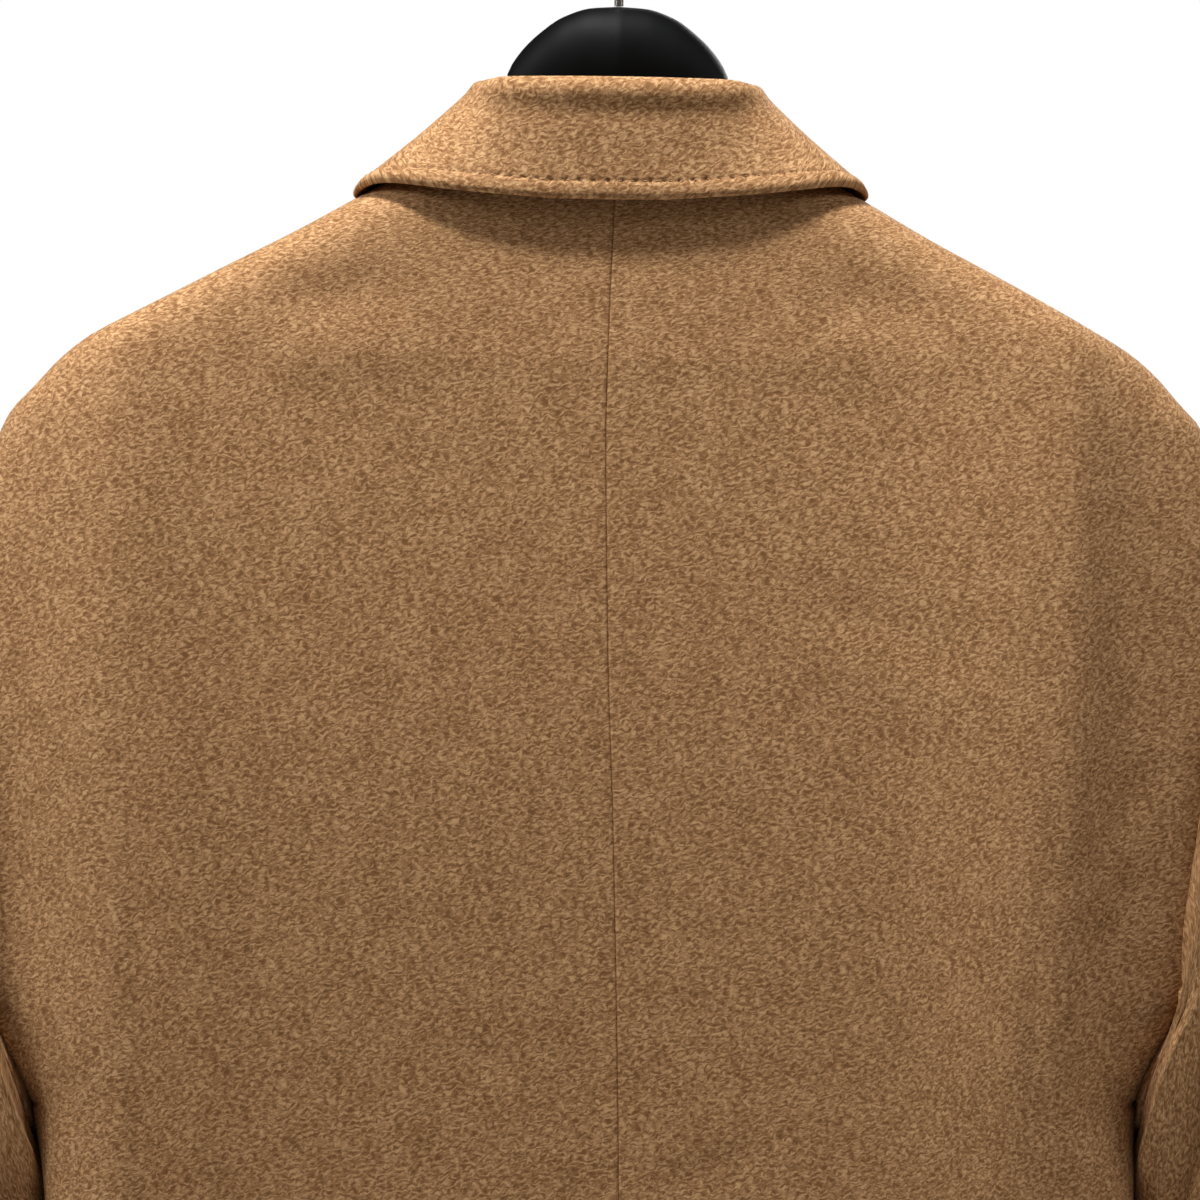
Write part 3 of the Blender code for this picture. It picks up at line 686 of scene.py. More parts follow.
def cloth_shell(name, outer, inner, cut, material):
    """A closed cloth shell between two grids of points that meet along their edges.

    cut gives each place's own position on the flat cloth, in metres, as its UV."""
    rows, columns = outer.shape[:2]
    shape = bmesh.new()
    flat = shape.loops.layers.uv.new("cut")
    down, across = grid_into(shape, columns, rows)
    grid_into(shape, columns, rows)
    bmesh.ops.reverse_faces(shape, faces=shape.faces[:len(shape.faces) // 2])
    places = np.concatenate((outer[down, across], inner[down, across]))
    on_cut = np.tile(cut[down, across], (2, 1)) + CUT_STEP * len(bpy.data.objects)
    for vertex, place in zip(shape.verts, places):
        vertex.co = place
    shape.verts.index_update()
    for face in shape.faces:
        for loop in face.loops:
            loop[flat].uv = on_cut[loop.vert.index]
    rim = [v for v, j, i in zip(shape.verts, np.tile(down, 2), np.tile(across, 2))
           if j in (0, rows - 1) or i in (0, columns - 1)]
    bmesh.ops.remove_doubles(shape, verts=rim, dist=WELD)
    bmesh.ops.recalc_face_normals(shape, faces=shape.faces)
    return add_object(name, shape, material)


def rounded(middle, normal, edge, half):
    """Outer and inner grids of a cloth with half-round edges: edge is the distance to the nearest one."""
    half = np.broadcast_to(half, edge.shape)
    fullness = np.sqrt(np.maximum(0.0, 1 - (1 - np.minimum(edge / half, 1.0)) ** 2))
    side = normal * (half * fullness)[..., None]
    return middle + side, middle - side


def add_panel(name, surface, core, u, v, thick, material):
    """A cloth panel whose outer face is the surface at grids of u and v. Returns it and its cut's size."""
    outer = surface(u, v)
    normal = outward(surface, core, u, v)
    across, down = run_lengths(outer, 1), run_lengths(outer, 0)
    edge = np.minimum(np.minimum(across, across[:, -1:] - across), np.minimum(down, down[-1:] - down))
    top, under = rounded(outer - normal * thick / 2, normal, edge, thick / 2)
    middle = outer.shape[1] // 2
    sign = 1.0 if outer[0, -1, 0] > outer[0, 0, 0] else -1.0
    cut = np.stack((sign * across, np.broadcast_to(down[:, middle:middle + 1], across.shape)), axis=-1)
    made = cloth_shell(name, hang(top), hang(under), cut, material)
    return made, sheet_size(outer)


def sheet_size(points):
    """Greatest width and length, and the area, of a grid of points."""
    across, down = run_lengths(points, 1), run_lengths(points, 0)
    a, b = points[1:, 1:] - points[:-1, :-1], points[1:, :-1] - points[:-1, 1:]
    area = 0.5 * np.linalg.norm(np.cross(a, b), axis=-1).sum()
    return float(across[:, -1].max()), float(down[-1].max()), float(area)


def declare(size):
    """Works out the length of the rectangle that a cloth's cut comes out of, and gives nothing back."""
    width, length, area = size
    length = max(length, area / width)


def feed(tree, node, inputs):
    """Sets a node's inputs as values, or as links from other nodes' sockets."""
    for key, value in inputs.items():
        if isinstance(value, bpy.types.NodeSocket):
            tree.links.new(value, node.inputs[key])
        else:
            node.inputs[key].default_value = value


def add_node(tree, kind, inputs=None, stops=(), **settings):
    """Adds a node with its settings, its colour stops (first, last, then between) and its inputs."""
    made = tree.nodes.new(kind)
    for setting, value in settings.items():
        setattr(made, setting, value)
    for place, (position, colour) in enumerate(stops):
        elements = made.color_ramp.elements
        stop = elements[place] if place < 2 else elements.new(position)
        stop.position, stop.color = position, colour
    feed(tree, made, inputs or {})
    return made


def material_named(name):
    """Makes a function that adds nodes, and gives the shader's inputs, give its finished material."""
    def wrap(paint):
        @functools.wraps(paint)
        def ready():
            made = bpy.data.materials.get(name)
            if not made:
                made = bpy.data.materials.new(name)
                made.use_nodes = True
                tree = made.node_tree
                inputs = paint(functools.partial(add_node, tree), bpy.context.scene.coat_colours)
                feed(tree, tree.nodes["Principled BSDF"], inputs)
            return made
        return ready
    return wrap


def shaded(colour, share):
    """A darker or lighter share of a colour."""
    return [share * part for part in colour[:3]] + [1.0]


@material_named("camel_wool_milled_napped")
def napped_wool(node, colours):
    """Camel-dyed wool overcoating, milled and raised: short curled fibres that lie mostly across the
    cloth, painted with shade in the gaps between them and in dark flecks, and with highlights on their tips
    and in light flecks, a soft bloom at grazing angles and no gloss. Single fibres are too fine to show, so
    tufts of about 3 by 1 mm are drawn."""
    cut = node("ShaderNodeUVMap", uv_map="cut").outputs["UV"]
    curl = node("ShaderNodeTexNoise", {"Vector": cut, "Scale": 1 / (3.4 * MM), "Detail": 2.0},
                noise_dimensions="2D").outputs["Color"]
    push = node("ShaderNodeVectorMath", {0: curl, 1: (0.5, 0.5, 0.5)}, operation="SUBTRACT").outputs[0]
    push = node("ShaderNodeVectorMath", {0: push, "Scale": 3.4 * MM}, operation="SCALE").outputs[0]
    bent = node("ShaderNodeVectorMath", {0: cut, 1: push}, operation="ADD").outputs[0]
    turned = node("ShaderNodeVectorRotate", {"Vector": bent, "Angle": -0.30},
                  rotation_type="Z_AXIS").outputs[0]

    def laid(length, width, aside):
        """Places on the cloth, measured in tufts of this size in millimetres."""
        tufts = (1 / (length * MM), 1 / (width * MM), 1.0)
        return node("ShaderNodeVectorMath", {0: turned, 1: tufts, 2: (aside, aside, 0.0)},
                    operation="MULTIPLY_ADD").outputs[0]

    nap = node("ShaderNodeTexNoise", {"Vector": laid(3.0, 1.15, 0.0), "Scale": 1.0, "Detail": 3.0,
                                      "Roughness": 0.62}, noise_dimensions="2D").outputs[0]
    broad = node("ShaderNodeTexNoise", {"Vector": cut, "Scale": 1 / (16 * MM), "Detail": 3.0},
                 noise_dimensions="2D").outputs[0]
    shade = node("ShaderNodeMix", {"Factor": 0.14, 2: nap, 3: broad}).outputs[0]
    # Colour follows the nap's height: painted shade in its low gaps, the body colour between, and a painted
    # highlight on its raised tips
    stops = ((0.37, colours.wool_gap_shade), (0.66, colours.wool_tip_highlight), (0.51, colours.wool_body))
    shown = node("ShaderNodeValToRGB", {"Fac": shade}, stops=stops).outputs["Color"]
    # Scattered flecks: painted highlights in the tip colour and painted shade in the deep colour
    for length, width, aside, spread, share, colour in (
            (4.6, 2.4, 7.3, 0.24, 0.75, colours.wool_tip_highlight), (5.6, 2.8, 3.1, 0.22, 0.80, colours.wool_gap_shade)):
        spots = node("ShaderNodeTexVoronoi", {"Vector": laid(length, width, aside), "Scale": 1.0},
                     voronoi_dimensions="2D", feature="F1").outputs["Distance"]
        on_spot = node("ShaderNodeMapRange", {"Value": spots, "From Min": 0.05, "From Max": spread,
                                              "To Min": share, "To Max": 0.0}).outputs[0]
        shown = node("ShaderNodeMix", {"Factor": on_spot, 6: shown, 7: colour}, data_type="RGBA").outputs[2]
    bump = node("ShaderNodeBump", {"Strength": 0.19, "Distance": 0.9 * MM, "Height": nap})
    return {"Base Color": shown, "Normal": bump.outputs["Normal"], "Roughness": 0.92,
            "Specular IOR Level": 0.15, "Sheen Weight": 0.22, "Sheen Roughness": 0.45,
            "Sheen Tint": colours.wool_tip_highlight}


@material_named("spun_polyester_thread")
def spun_thread(node, colours):
    """Spun polyester sewing thread, a little darker than the cloth: a twist with painted highlights on its
    plies and painted shade between them.
    """
    place = node("ShaderNodeTexCoord").outputs["Object"]
    twist = node("ShaderNodeTexWave", {"Vector": place, "Scale": 1 / (18 * MM), "Distortion": 1.5},
                 bands_direction="DIAGONAL").outputs["Fac"]
    # Painted highlight on the plies of the twist and painted shade between them
    stops = ((0.0, shaded(colours.thread, 0.55)), (1.0, colours.thread))
    tint = node("ShaderNodeValToRGB", {"Fac": twist}, stops=stops)
    bump = node("ShaderNodeBump", {"Strength": 0.5, "Distance": 0.2 * MM, "Height": twist})
    return {"Base Color": tint.outputs["Color"], "Normal": bump.outputs["Normal"], "Roughness": 0.7,
            "Sheen Weight": 0.15}


@material_named("buffalo_horn_turned_polished")
def turned_horn(node, colours):
    """Buffalo horn, turned and polished: dark brown with drifting lighter streaks under a soft polish."""
    place = node("ShaderNodeTexCoord").outputs["Object"]
    stretched = node("ShaderNodeVectorMath", {0: place, 1: (1 / (12 * MM), 1 / (12 * MM), 1 / (3 * MM))},
                     operation="MULTIPLY").outputs[0]
    streaks = node("ShaderNodeTexNoise", {"Vector": stretched, "Scale": 1.0, "Detail": 5.0,
                                          "Distortion": 1.2}).outputs[0]
    stops = ((0.38, colours.horn_dark), (0.72, colours.horn_light))
    tint = node("ShaderNodeValToRGB", {"Fac": streaks}, stops=stops)
    rough = node("ShaderNodeMapRange", {"Value": streaks, "To Min": 0.24, "To Max": 0.38})
    return {"Base Color": tint.outputs["Color"], "Roughness": rough.outputs[0], "IOR": 1.54}


@material_named("polypropylene_moulded_satin")
def moulded_plastic(node, colours):
    """Black polypropylene, moulded in a fine-grained tool: satin, with an orange-peel grain and scuffs."""
    place = node("ShaderNodeTexCoord").outputs["Object"]
    grain = node("ShaderNodeTexNoise", {"Vector": place, "Scale": 1 / (1.2 * MM), "Detail": 2.0}).outputs[0]
    scuff = node("ShaderNodeTexNoise", {"Vector": place, "Scale": 1 / (18 * MM), "Detail": 4.0}).outputs[0]
    stops = ((0.0, shaded(colours.hanger, 0.75)), (1.0, shaded(colours.hanger, 1.3)))
    tint = node("ShaderNodeValToRGB", {"Fac": scuff}, stops=stops)
    rough = node("ShaderNodeMapRange", {"Value": scuff, "To Min": 0.46, "To Max": 0.60})
    bump = node("ShaderNodeBump", {"Strength": 0.12, "Distance": 0.2 * MM, "Height": grain})
    return {"Base Color": tint.outputs["Color"], "Roughness": rough.outputs[0],
            "Normal": bump.outputs["Normal"], "IOR": 1.49, "Specular IOR Level": 0.08}


@material_named("steel_wire_drawn_nickel_plated")
def plated_wire(node, colours):
    """Nickel-plated steel wire, drawn and plated: bright, with fine unevenness left by the drawing."""
    place = node("ShaderNodeTexCoord").outputs["Object"]
    drawn = node("ShaderNodeTexNoise", {"Vector": place, "Scale": 1 / (1.5 * MM), "Detail": 3.0}).outputs[0]
    rough = node("ShaderNodeMapRange", {"Value": drawn, "To Min": 0.16, "To Max": 0.34})
    stops = ((0.0, shaded(colours.hook, 0.8)), (1.0, colours.hook))
    tint = node("ShaderNodeValToRGB", {"Fac": drawn}, stops=stops)
    return {"Base Color": tint.outputs["Color"], "Roughness": rough.outputs[0], "Metallic": 1.0}


@material_named("studio_floor_matt_paint")
def floor_paint(node, colours):
    """Matt floor paint, rolled on: pale, with a slow drift of tone, and a glow that the camera alone sees."""
    place = node("ShaderNodeTexCoord").outputs["Object"]
    drift = node("ShaderNodeTexNoise", {"Vector": place, "Scale": 3.0, "Detail": 2.0}).outputs[0]
    stops = ((0.0, shaded(colours.floor, 0.97)), (1.0, colours.floor))
    tint = node("ShaderNodeValToRGB", {"Fac": drift}, stops=stops).outputs["Color"]
    seen = node("ShaderNodeLightPath").outputs["Is Camera Ray"]
    glow = node("ShaderNodeMapRange", {"Value": seen, "To Min": 0.0,
                                       "To Max": bpy.context.scene.coat_stage.floor_glow})
    return {"Base Color": tint, "Roughness": 0.9, "Emission Color": tint, "Emission Strength": glow.outputs[0]}


def body_drops():
    """Rows of the body's panels: fine where the photograph looks, wider to the hem."""
    near = near_edges(bpy.context.scene.coat_sizes.cloth)
    upper = np.linspace(NECK_DROP + near[-1], FINE_TO, FINE_DOWN)[1:]
    lower = np.linspace(FINE_TO, HEM_DROP - near[-1], WIDE_DOWN)[1:-1]
    return np.concatenate((NECK_DROP + near, upper, lower, HEM_DROP - near[::-1]))


def ring_columns(face, drops, first, last, count):
    """Angles along each ring from its inner edge to its sewn one, close together near both edges.

    Most columns keep clear of the armhole, so that they run smoothly past its top and the underarm."""
    near = near_edges(bpy.context.scene.coat_sizes.cloth)
    shares = np.linspace(0.0, 1.0, RING_SAMPLES)
    clear = ARMHOLE_HALF * ease((drops - CLEAR_FROM) / CLEAR_OVER)
    clear = clear * (1 - ease((drops - FLOOR_FROM) / FLOOR_OVER))
    inner = round(count * INNER_SHARE)
    crowded = 1 - (1 - np.linspace(0.0, 1.0, inner + 1)[1:]) ** CROWDING
    rows = []
    for drop, start, end, depth in zip(drops, first, last, clear):
        angles = start + (end - start) * shares
        lengths = line_lengths(ring_point(face, angles, np.full_like(angles, drop)))
        bound = INNER_SHARE * np.interp(angle_at_depth(face, drop, depth), angles, lengths)
        places = np.concatenate((near, near[-1] + (bound - near[-1]) * crowded,
                                 np.linspace(bound, lengths[-1] - near[-1], count - inner + 2)[1:-1],
                                 lengths[-1] - near[::-1]))
        rows.append(np.interp(places, lengths, angles))
    return np.array(rows)


def lapel_place(side, across, rise):
    """Angle and drop on the front under a lapel's point: across from roll to edge, rise from break."""
    roll_drop = BREAK_DROP + (GORGE_DROP - BREAK_DROP) * rise
    roll_x = front_edge_x(roll_drop)
    edge_x = -FRONT_EDGE + (PEAK_X + FRONT_EDGE) * rise + LAPEL_BELLY * np.sin(math.pi * rise)
    edge_drop = BREAK_DROP + (PEAK_DROP - BREAK_DROP) * rise
    notch = np.minimum(across / NOTCH_SHARE, (1 - across) / (1 - NOTCH_SHARE))
    x = roll_x + (edge_x - roll_x) * across
    drop = roll_drop + (edge_drop - roll_drop) * across + NOTCH_DIP * notch * rise**NOTCH_POWER
    return side * angle_at_x(drop, x), drop


def neck_point(station):
    """The neck seam: round the neck ring to the front panel, then down its V edge to the gorge."""
    drop = NECK_DROP
    if station <= COLLAR_FRONT_STATION:
        angle = (math.pi - angle_at_x(NECK_DROP, NECK_EDGE)) * station / COLLAR_FRONT_STATION
        face = "back" if angle <= math.pi / 2 else "front"
        place = angle if face == "back" else math.pi - angle
    else:
        drop += (GORGE_DROP - NECK_DROP) * (station - COLLAR_FRONT_STATION) / (1 - COLLAR_FRONT_STATION)
        face = "front"
        place = angle_at_x(drop, front_edge_x(drop))
    return ring_point(face, place, drop)


def surface_of(face, side=1):
    """The outer face of the back, or of the left or right front, as a function of angle and drop."""
    return lambda angle, drop: ring_point(face, angle, drop, sunk=face == "front" and side < 0)


def collar_line(station, side, stand_shares, roll_turns, fall_shares, insets):
    """Middle line of the collar's fold at a station of one half: stand, roll and fall.

    The fall's last places lie at fixed insets from its free edge."""
    value = {column: float(along(COLLAR, COLLAR_COLUMNS, column, station)) for column in COLLAR_COLUMNS}
    if side > 0:
        low = float(ease(station / LEFT_FULL) * (1 - ease((station - LEFT_TO) / LEFT_OVER)))
        value["edge_drop"] += LEFT_DROP * low
        value["lift"] -= LEFT_SETTLE * low
    neck = neck_point(station)
    aside = unit(np.array((neck[0], neck[1], 0.0)))
    front_share = float(ease((station - COLLAR_FRONT_STATION) / COLLAR_FRONT_EASE + 1))
    on_ring = np.array((0, 0, SEAT_GAP)) - aside * CAD_CLOTH / 2
    seat = neck + on_ring * (1 - front_share) + np.array((-V_EDGE_INSET, 0, 0)) * front_share
    roll = seat + np.array((0, 0, value["up"])) + aside * value["out"]
    angle = math.radians(value["edge_angle"])
    face = "back" if angle <= math.pi / 2 else "front"
    place = np.array(angle if face == "back" else math.pi - angle)
    drop = np.array(value["edge_drop"])
    coat = surface_of(face)
    edge = coat(place, drop) + value["lift"] * outward(coat, body_core, place, drop)
    radius = ROLL_RADIUS + (SIDE_RADIUS - ROLL_RADIUS) * ease((station - SIDE_FROM) / SIDE_OVER)
    to_seat, to_edge = unit(seat - roll), unit(edge - roll)
    over = -unit(to_seat + to_edge)
    aside = unit(to_edge - over * to_edge.dot(over))
    top = roll - aside * radius
    stand = seat + (top - seat) * stand_shares[:, None]
    turn = radius * (over * np.sin(roll_turns)[:, None] - aside * np.cos(roll_turns)[:, None])
    start = roll + aside * radius
    fall = unit(edge - start)
    reach = np.linalg.norm(edge - start)
    last = 1 - insets / reach
    fall_shares = np.concatenate((fall_shares * last[0], last))
    off_stand = unit((start - seat) - fall * (start - seat).dot(fall))
    depth = (FALL_SAG - FALL_BOW * ease((station - BOW_FROM) / BOW_OVER)) * (1 - front_share)
    sag = depth * np.sin(math.pi * fall_shares**SAG_PLACE)
    hung = start + (edge - start) * fall_shares[:, None] - off_stand * sag[:, None]
    return np.concatenate((stand, roll + turn, hung)), np.cross(over, aside)


def stitch_dip(edge, run, sizes):
    """How far a row of stitches pulls the cloth in: a shallow groove with a dimple at each stitch."""
    off = (edge - sizes.stitch_inset) / GROOVE_WIDTH
    beat = (np.mod(run / sizes.stitch_pitch, 1.0) - 0.5) * sizes.stitch_pitch / DIMPLE_WIDTH
    return sizes.stitch_depth * np.exp(-off * off) * (GROOVE_SHARE + (1 - GROOVE_SHARE) * np.exp(-beat * beat))


def sleeve_point(turn, station):
    """Points of the left sleeve. The turn runs from the outer line (0) over the back (pi/2)."""
    turn, station = np.broadcast_arrays(np.asarray(turn, float), np.asarray(station, float))
    value = {column: along(SLEEVE, SLEEVE_COLUMNS, column, station) for column in SLEEVE_COLUMNS}
    share = (1 - np.cos(turn)) / 2
    x = value["outer_x"] + (value["under_x"] - value["outer_x"]) * share
    z = -value["outer"] - (value["under"] - value["outer"]) * share
    pressed = np.zeros(turn.shape)
    for row in SLEEVE_CREASES:
        crease = dict(zip(SLEEVE_CREASE_COLUMNS, row))
        gone = np.clip((turn - crease["turn0"]) / (crease["turn1"] - crease["turn0"]), 0.0, 1.0)
        centre = crease["station0"] + (crease["station1"] - crease["station0"]) * gone
        past = (turn - crease["turn0"] - (crease["turn1"] - crease["turn0"]) * gone) / crease["turn_width"]
        off = (station - centre) / crease["station_width"]
        pressed = pressed + crease["depth"] * np.exp(-off * off - past * past)
    pressed = pressed * ease(station / CREASED_FROM)
    puff = SLEEVE_PUFF * ease(station / PUFF_FULL) * (1 - ease((station - PUFF_FROM) / PUFF_OVER))
    square = BACK_SQUARE * (np.sin(turn) > 0) * (1 - ease((station - SQUARE_TO) / SQUARE_OVER))
    over = np.copysign(armhole_share(-np.cos(turn), square), np.sin(turn))
    y = (value["half_depth"] + puff - pressed) * over + value["centre_y"]
    x = x - pressed * np.cos(turn)
    middle = (ARMHOLE_TOP + UNDERARM) / 2
    drop = middle - (UNDERARM - middle) * np.cos(turn)
    back, front = (ring_point(face, angle_at_depth(face, drop, armhole_half(face, drop)), drop)[..., 0]
                   for face in ("back", "front"))
    edge = np.where(np.sin(turn) >= 0, back, front)
    first = dict(zip(SLEEVE_COLUMNS, SLEEVE[0]))
    straight = first["outer_x"] + (first["under_x"] - first["outer_x"]) * share
    x = x + (edge - straight) * (1 - ease(station / ARMHOLE_FADE)) - SEAM_LAP * (1 - ease(station))
    return np.stack((x, y, z), axis=-1)


def stitch_row(points, normals, pitch):
    """Places, directions and normals at even steps along a line of points."""
    lengths = line_lengths(points)
    at = np.arange(pitch / 2, lengths[-1], pitch)

    def read(values, where):
        return np.stack([np.interp(where, lengths, values[:, k]) for k in range(3)], axis=-1)

    places = read(points, at)
    step = read(points, at + pitch / 8) - places
    out = unit(read(normals, at))
    run = unit(step - out * np.sum(step * out, axis=-1, keepdims=True))
    keep = np.linalg.norm(step, axis=-1) > 0
    return zip(places[keep], run[keep], out[keep])


def sew_edge(name, top, normal, from_edge, unsewn, length):
    """One mesh of topstitches, each a small spindle along the free edge of a cloth's face."""
    sizes = bpy.context.scene.coat_sizes
    rows = range(unsewn[0], len(top) - unsewn[1])
    line, out = (np.array([[np.interp(-sizes.stitch_inset, -from_edge[j], grid[j, :, k]) for k in range(3)]
                           for j in rows]) for grid in (top, normal))
    size = Matrix.Diagonal((THREAD_WIDTH / 2, THREAD_WIDTH / 2 / THREAD_FLAT, length / 2, 1.0))
    stitches = bmesh.new()
    for place, run, up in stitch_row(hang(line), out, sizes.stitch_pitch):
        turn = Matrix((Vector(np.cross(up, run)), Vector(up), Vector(run))).transposed().to_4x4()
        bmesh.ops.create_uvsphere(stitches, u_segments=6, v_segments=5, radius=1.0,
                                  matrix=Matrix.Translation(place) @ turn @ size)
    made = add_object(name, stitches, spun_thread())
    return made


def add_body_panels(face, drops, first, count):
    """Cuts and hangs the left and right panel of a face, from its inner edge to its sewn one."""
    for name, side in SIDES:
        angles = ring_columns(face, drops, first, side_angle(face, drops), count)
        v = np.broadcast_to(drops[:, None], angles.shape)
        made, size = add_panel(f"{face}_{name}_cloth", surface_of(face, side), body_core, side * angles, v,
                               bpy.context.scene.coat_sizes.cloth, napped_wool())
        stand_for(made, f"{face}_{name}")
        declare(size)


class OBJECT_OT_coat_backs(bpy.types.Operator):
    """Cuts and hangs the two halves of the back, joined by the centre-back seam"""
    bl_idname = "object.coat_backs"
    bl_label = "Backs"

    def execute(self, context):
        drops = body_drops()
        add_body_panels("back", drops, angle_at_x(drops, -SEAM_LAP / 8), BACK_ACROSS)
        return {"FINISHED"}


class OBJECT_OT_coat_fronts(bpy.types.Operator):
    """Cuts and hangs the two fronts, the left one lapped over the right"""
    bl_idname = "object.coat_fronts"
    bl_label = "Fronts"

    def execute(self, context):
        drops = body_drops()
        add_body_panels("front", drops, angle_at_x(drops, front_edge_x(drops)), FRONT_ACROSS)
        return {"FINISHED"}


class OBJECT_OT_coat_lapels(bpy.types.Operator):
    """Turns the fronts back as peaked lapels with a stitched edge"""
    bl_idname = "object.coat_lapels"
    bl_label = "Lapels"

    def execute(self, context):
        sizes = context.scene.coat_sizes
        half = sizes.lapel_cloth / 2
        near = near_edges(sizes.lapel_cloth)
        shares = np.linspace(0.0, 1.0, LAPEL_SAMPLES)
        rise = LAPEL_START + (1 - LAPEL_START) * spaced(LAPEL_LENGTH, near, LAPEL_UP) / LAPEL_LENGTH
        for name, side in SIDES:
            front = surface_of("front", side)
            rows = []
            for value in rise:
                lengths = line_lengths(front(*lapel_place(side, shares, np.full_like(shares, value))))
                width = max(lengths[-1], LAPEL_LEAST * near[-1])
                places = spaced(width, near, LAPEL_ACROSS) * lengths[-1] / width
                rows.append(np.interp(places, lengths, shares))
            across = np.array(rows)
            angle, drop = lapel_place(side, across, np.broadcast_to(rise[:, None], across.shape))
            base = front(angle, drop)
            normal = outward(front, body_core, angle, drop)
            run, climb = run_lengths(base, 1), run_lengths(base, 0)
            from_edge, from_top = run[:, -1:] - run, climb[-1:] - climb
            free = np.minimum(from_edge, from_top)
            along_edge = np.where(from_edge < from_top, climb, run)
            roll = LAPEL_ROLL * (1 - ease(run / LAPEL_ROLL_OVER)) * ease(run / LAPEL_ROLL_FROM)
            lift = LAPEL_LIFT + half + roll - stitch_dip(free, along_edge, sizes)
            edge = np.minimum(free, np.minimum(run, climb))
            top, under = rounded(base + normal * lift[..., None], normal, edge, half)
            cut = np.stack((run, climb), axis=-1)
            made = cloth_shell(f"lapel_{name}_cloth", hang(top), hang(under), cut, napped_wool())
            stand_for(made, f"lapel_{name}")
            sewn = sew_edge(f"lapel_{name}_stitches", top, normal, from_edge, LAPEL_UNSEWN, LAPEL_STITCH)
            declare(sheet_size(base))
        return {"FINISHED"}


class OBJECT_OT_coat_collar(bpy.types.Operator):
    """Folds the collar over its roll, with a row of stitches along the edge of the fall"""
    bl_idname = "object.coat_collar"
    bl_label = "Collar"

    def execute(self, context):
        sizes = context.scene.coat_sizes
        near = near_edges(sizes.collar_cloth)
        foot = near / STAND_HEIGHT
        stand = np.concatenate((foot, np.linspace(foot[-1], 1.0, STAND_STEPS)[1:-1]))
        turns = np.linspace(0.0, math.pi, ROLL_STEPS)
        fall = np.linspace(0.0, 1.0, FALL_STEPS)[1:-1]
        insets = np.concatenate((sizes.stitch_inset + np.array(BY_STITCHES), near[::-1]))
        tail = 1 - near[:-1] / HALF_COLLAR
        even = np.linspace(-1.0, 1.0, COLLAR_STATIONS)[END_STATIONS:-END_STATIONS]
        stations = np.concatenate((-tail, even, tail[::-1]))
        lines, axes = [], []
        for station in stations:
            side = -1.0 if station < 0 else 1.0
            mirror = np.array((side, 1.0, 1.0))
            line, axis = collar_line(abs(station), side, stand, turns, fall, insets)
            lines.append(line * mirror)
            axes.append(axis * mirror * side)
        middle = np.array(lines)
        normal = unit(np.cross(np.gradient(middle, axis=1), np.array(axes)[:, None, :]))
        across, down = run_lengths(middle, 1), run_lengths(middle, 0)
        from_edge = across[:, -1:] - across
        from_end = np.minimum(down, down[-1:] - down)
        centre = down[len(stations) // 2]
        sewn_here = (from_edge < FALL_BAND) * ease((from_end - STITCH_END) / STITCH_END)
        dip = stitch_dip(from_edge, down[:, -1:] - centre[-1], sizes) * sewn_here
        past_roll = across - across[:, len(stand) + len(turns) - 1, None]
        off = (past_roll - HOLLOW_PLACE) / HOLLOW_WIDTH
        dip = dip + ROLL_HOLLOW * np.exp(-off * off) * (1 - ease(np.abs(stations) / HOLLOW_TO))[:, None]
        dip = dip - BAND_RISE * np.sin(math.pi * np.clip(from_edge / sizes.stitch_inset, 0.0, 1.0))
        middle = middle - normal * dip[..., None]
        edge = np.minimum(np.minimum(across, from_edge), from_end)
        top, under = rounded(middle, normal, edge, sizes.collar_cloth / 2)
        cut = np.stack((down - centre, across), axis=-1)
        made = cloth_shell("collar_cloth", hang(top), hang(under), cut, napped_wool())
        stand_for(made, "collar")
        sewn = sew_edge("collar_stitches", top, normal, from_edge, COLLAR_UNSEWN, COLLAR_STITCH)
        declare(sheet_size(middle))
        return {"FINISHED"}


class OBJECT_OT_coat_sleeves(bpy.types.Operator):
    """Sews the upper and under sleeves into the armholes"""
    bl_idname = "object.coat_sleeves"
    bl_label = "Sleeves"

    def execute(self, context):
        thick = context.scene.coat_sizes.cloth
        near = near_edges(thick)
        inset = -SEAM_LAP / ARMHOLE_HALF
        stations = spaced(SLEEVE_LENGTH, near, SLEEVE_DOWN) / SLEEVE_LENGTH
        shares = np.linspace(0.0, 1.0, SLEEVE_SAMPLES)
        seam = SLEEVE_SEAM_TURN
        for name, side in SIDES:
            mirror = np.array((side, 1.0, 1.0))

            def surface(turn, station):
                return sleeve_point(turn, station) * mirror

            def core(station):
                return (surface(0.0, station) + surface(math.pi, station)) / 2

            for part, first, last, count in (("upper", -seam, seam, UPPER_ACROSS),
                                             ("under", seam, 2 * math.pi - seam, UNDER_ACROSS)):
                turns = first + inset + (last - first - 2 * inset) * shares
                rows = []
                for station in stations:
                    lengths = line_lengths(surface(turns, np.full_like(turns, station)))
                    rows.append(np.interp(spaced(lengths[-1], near, count), lengths, turns))
                u = np.array(rows)
                v = np.broadcast_to(stations[:, None], u.shape)
                made, size = add_panel(f"sleeve_{part}_{name}_cloth", surface, core, u, v, thick, napped_wool())
                stand_for(made, f"sleeve_{part}_{name}")
                declare(size)
        return {"FINISHED"}


